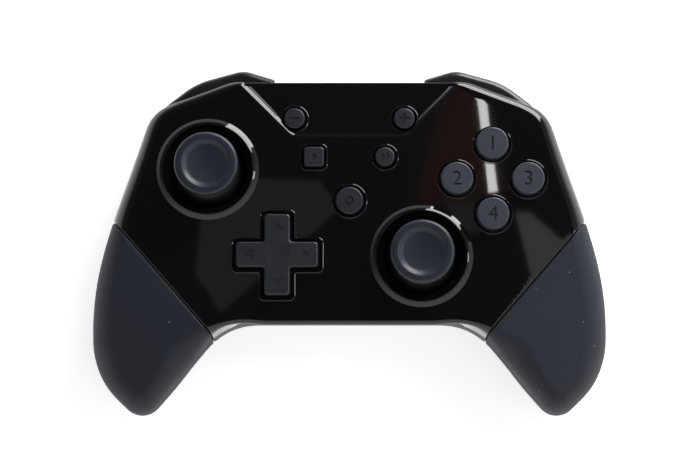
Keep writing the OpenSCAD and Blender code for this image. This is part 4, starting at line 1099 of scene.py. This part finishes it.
def makeFaceButton(name):
    shape = faceButtonShape
    button = {**shape, **faceButtons[name]}
    spot = button["at"]
    bm = cutAway(roundButton(button, shape, 96),
                 textMark(button["mark"], (*spot, shape["top"]), shape["markSize"], shape["markDepth"]))
    # the face buttons' finish is paler as painted light
    finishPiece("faceButton" + name.capitalize(), bm, "faceButtonAbsPaintedLight", "face_button_" + name,
                ["face_button_" + name], 20, (spot, shape["markReach"], shape["top"]))


for name in faceButtons:
    makeFaceButton(name)


# plain marks for the small buttons: a bar, a cross, a double chevron and a ring
def smallMark(bm, name, spot):
    shape = smallButtonShape
    (long, thin), depth = shape["bar"], shape["markDepth"]
    low, high = spot[2] - depth, spot[2] + depth
    if name == "minus":
        box(bm, (-long / 2, -thin / 2, -depth), (long / 2, thin / 2, depth), Matrix.Translation(spot))
    elif name == "plus":
        prism(bm, crossOutline(long, thin, shape["barCorner"], shape["barCorner"]), spot, low, high)
    elif name == "turbo":
        (b, a), line = shape["chevron"], shape["chevronLine"]
        for x in shape["chevronsAt"]:
            outline = [(x - b, -a), (x - b + line, -a), (x + line, 0), (x - b + line, a), (x - b, a), (x, 0)]
            prism(bm, outline, spot, low, high)
    else:
        inner, outer = shape["ring"]
        lathe(bm, [(inner, -depth), (outer, -depth), (outer, depth), (inner, depth)], spot, 48, closed=True)


def makeSmallButton(name):
    button, shape = smallButtons[name], smallButtonShape
    bm = cutWith(roundButton(button, shape, 72), smallMark, name, (*button["at"], button["top"]))
    finishPiece(name + "Button", bm, "buttonAbs", name + "_button", [name + "_button"], 20,
                (button["at"], button["radius"] - shape["markRim"], button["top"]))


for name in smallButtons:
    makeSmallButton(name)


# heights and drawn-in distances of an edge that rolls over to the top
def rolledEdge(top, edge, angles):
    turns = [math.radians(a) for a in angles]
    return [(top + edge * (math.sin(a) - 1), edge * (math.cos(a) - 1)) for a in turns]


def makeCaptureButton():
    shape = captureShape
    spot, top, deep = shape["at"], shape["top"], shape["markDepth"]
    levels = [(shape["low"], flange), (shape["flangeTop"], flange), (shape["flangeTop"], 0),
              *rolledEdge(top, shape["edge"], range(0, 81, 20))]
    bm = bmesh.new()
    stackLoops(bm, [placed(squareOutline(shape["width"] + 2 * d, shape["corner"] + d * cornerShare), spot, z)
                    for z, d in levels])
    bm = cutWith(bm, drill, shape["dot"], -deep, deep, (*spot, top), 48)
    finishPiece("captureButton", bm, "buttonAbs", "capture_button", ["capture_button"], 20,
                (spot, shape["markReach"], top))


makeCaptureButton()


# direction pad with a shallow dip, and a small triangle sunk in each arm
def padDip(bm):
    radius, above = padShape["dipRadius"], holeFit["above"]
    rings = [radius * i / 12 for i in range(13)]
    bowl = [(r, r ** 2 / padShape["dipCurve"] - padShape["dipDepth"]) for r in rings]
    lathe(bm, bowl + [(radius, above), (0, above)], (*padShape["at"], padShape["top"]))


def padMarks(bm):
    top = padShape["top"]
    for quarter in range(4):
        turn = Matrix.Rotation(math.radians(90 * quarter), 2)
        corners = [turn @ Vector(p) for p in padShape["mark"]]
        prism(bm, corners, padShape["at"], top - padShape["markDepth"], top + 1)


def makePad():
    shape = padShape
    span, arm, corner, inner, spot = (shape[key] for key in ("span", "arm", "corner", "inner", "at"))
    wider, thicker = shape["flange"]
    foot = crossOutline(span + wider, arm + thicker, corner, inner)
    loops = [placed(foot, spot, z) for z in (shape["low"], shape["flangeTop"])]
    loops.append(placed(crossOutline(span, arm, corner, inner), spot, shape["flangeTop"]))
    for z, d in rolledEdge(shape["top"], shape["edge"], (0, 18, 36, 54, 72, 86)):
        ring = crossOutline(span + 2 * d, arm + 2 * d, corner + d * cornerShare, inner - d)
        loops.append(placed(ring, spot, z))
    bm = bmesh.new()
    stackLoops(bm, loops)
    bm = cutWith(cutWith(bm, padDip), padMarks)
    finishPiece("directionPad", bm, "buttonAbs", "dpad", ["dpad"])


makePad()


pairingShape = {"radius": 1.4, "length": 3.6, "edge": 0.3, "collar": (1.3, 1.9), "collarAt": (0.4, 1.2),
                "sunk": 3.0}


def makePairingButton():
    r, long = pairingShape["radius"], pairingShape["length"]
    (inner, outer), (low, high) = pairingShape["collar"], pairingShape["collarAt"]
    bm = bmesh.new()
    tip = roundedLine([(r, 0), (r, long), (0, long)], [0, pairingShape["edge"], 0], 6)
    lathe(bm, [(0, 0), *tip], steps=48)
    lathe(bm, [(inner, low), (outer, low), (outer, high), (inner, high)], steps=48, closed=True)
    x, y, z = backShape["pairingAt"]
    place = Matrix.Translation((x, y - pairingShape["sunk"], z)) @ Matrix.Rotation(math.radians(-90), 4, "X")
    bmesh.ops.transform(bm, matrix=place, verts=bm.verts)
    finishPiece("pairingButton", bm, "buttonAbs", "pairing_button", ["pairing_button"])


makePairingButton()


# bumpers: lens-shaped strips along the shoulder edge
def makeBumper(side, name):
    shape = bumperShape
    outer = roundedLine(shape["corners"], shape["radii"], 10)

    def drawnIn(d):
        moved = []
        for i, spot in enumerate(outer):
            run = (outer[min(i + 1, len(outer) - 1)] - outer[max(i - 1, 0)]).normalized()
            moved.append(spot + Vector((run.y, -run.x)) * d)
        return moved + shape["inner"]

    levels = [(shape["low"] + rise, d) for rise, d in shape["lowEdge"]]
    wide, high = shape["topRoll"]
    for turn in [math.radians(a) for a in (0, 15, 30, 45, 60, 75, 88)]:
        levels.append((shape["top"] - high + high * math.sin(turn), wide - wide * math.cos(turn)))
    bm = bmesh.new()
    stackLoops(bm, [placed(drawnIn(d), (0, 0), z) for z, d in levels])
    bm = cutWith(bm, drill, shape["pinRadius"], *shape["bore"], (*shape["pin"], 0), 32)
    if side < 0:
        mirrorX(bm)
    finishPiece(name + "Bumper", bm, "satinAbs", name + "_bumper", [name + "_bumper"])


for side, name in bothSides:
    makeBumper(side, name)


# triggers: curved finger pieces under the bumpers
def triggerBore(bm):
    shape = triggerShape
    drill(bm, shape["pinRadius"], -shape["bore"], shape["bore"], (0, 0, 0), 32)
    place = Matrix.Translation((shape["middle"], *shape["pin"])) @ Matrix.Rotation(math.radians(90), 4, "Y")
    bmesh.ops.transform(bm, matrix=place, verts=bm.verts)


def makeTrigger(side, name):
    shape = triggerShape
    centre = Vector(shape["arcCentre"])
    start, sweep, steps = shape["arcFrom"], shape["arcTo"] - shape["arcFrom"], 22
    turns = [math.radians(start + sweep * i / steps) for i in range(steps + 1)]
    arc = [centre + Vector((math.cos(a), math.sin(a))) * shape["arcRadius"] for a in turns]
    profile = [*shape["back"], *arc, shape["front"]]
    half = shape["width"] / 2
    bm = bmesh.new()
    stackLoops(bm, [[(shape["middle"] + x, *p) for p in profile] for x in (-half, half)])
    a, b = Vector(shape["endFrom"]), Vector(shape["endTo"])
    sliced(bm, (*a, 0), (a.y - b.y, b.x - a.x, 0), clear_outer=True)
    bmesh.ops.holes_fill(bm, edges=openEdges(bm))
    ends = [e for e in bm.edges if abs(e.verts[0].co.x - e.verts[1].co.x) < 1e-6
            and max(v.co.y for v in e.verts) > shape["bevelFrom"]]
    bmesh.ops.bevel(bm, geom=ends, offset=shape["bevel"], segments=4, profile=0.5, affect="EDGES",
                    material=-1)
    bmesh.ops.remove_doubles(bm, verts=bm.verts, dist=1e-4)
    bmesh.ops.recalc_face_normals(bm, faces=bm.faces)
    bm = cutWith(bm, triggerBox, shape["springRoom"])
    bm = cutWith(bm, triggerBore)
    bmesh.ops.transform(bm, matrix=shoulderFrame, verts=bm.verts)
    if side < 0:
        mirrorX(bm)
    finishPiece(name + "Trigger", bm, "triggerAbs", name + "_trigger", [name + "_trigger"])


for side, name in bothSides:
    makeTrigger(side, name)


# the left and the right one of a piece
def pair(name):
    return ["left_" + name, "right_" + name]


# solids that stay as they are get their real finish
keptSolids = {
    "zincSteel": ["case_screws", "grip_screws", "board_screws", *pair("bumper_pin"), *pair("trigger_pin"),
                  *pair("trigger_spring")],
    "acetal": [*pair("stick_shaft"), *pair("stick_yoke"), "dpad_spider"],
    "nylon": [*pair("stick_carriage"), *pair("stick_housing"), "dpad_seat", *pair("shoulder_bracket")],
    "siliconeMat": ["face_button_membrane", "dpad_membrane", "menu_membrane"],
    "glassEpoxy": ["button_board", "main_board", *pair("shoulder_board")],
    "nickelSteel": ["usb_socket"],
    "pouchFoil": ["battery"],
    "pvc": ["battery_lead", *pair("motor_lead")],
    "motorSteel": pair("rumble_motor"),
    "brass": pair("rumble_weight"),
}
for finish, names in keptSolids.items():
    for name in names:
        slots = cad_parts[name].data.materials
        slots.clear()
        slots.append(paint[finish])
print("inner solids painted")
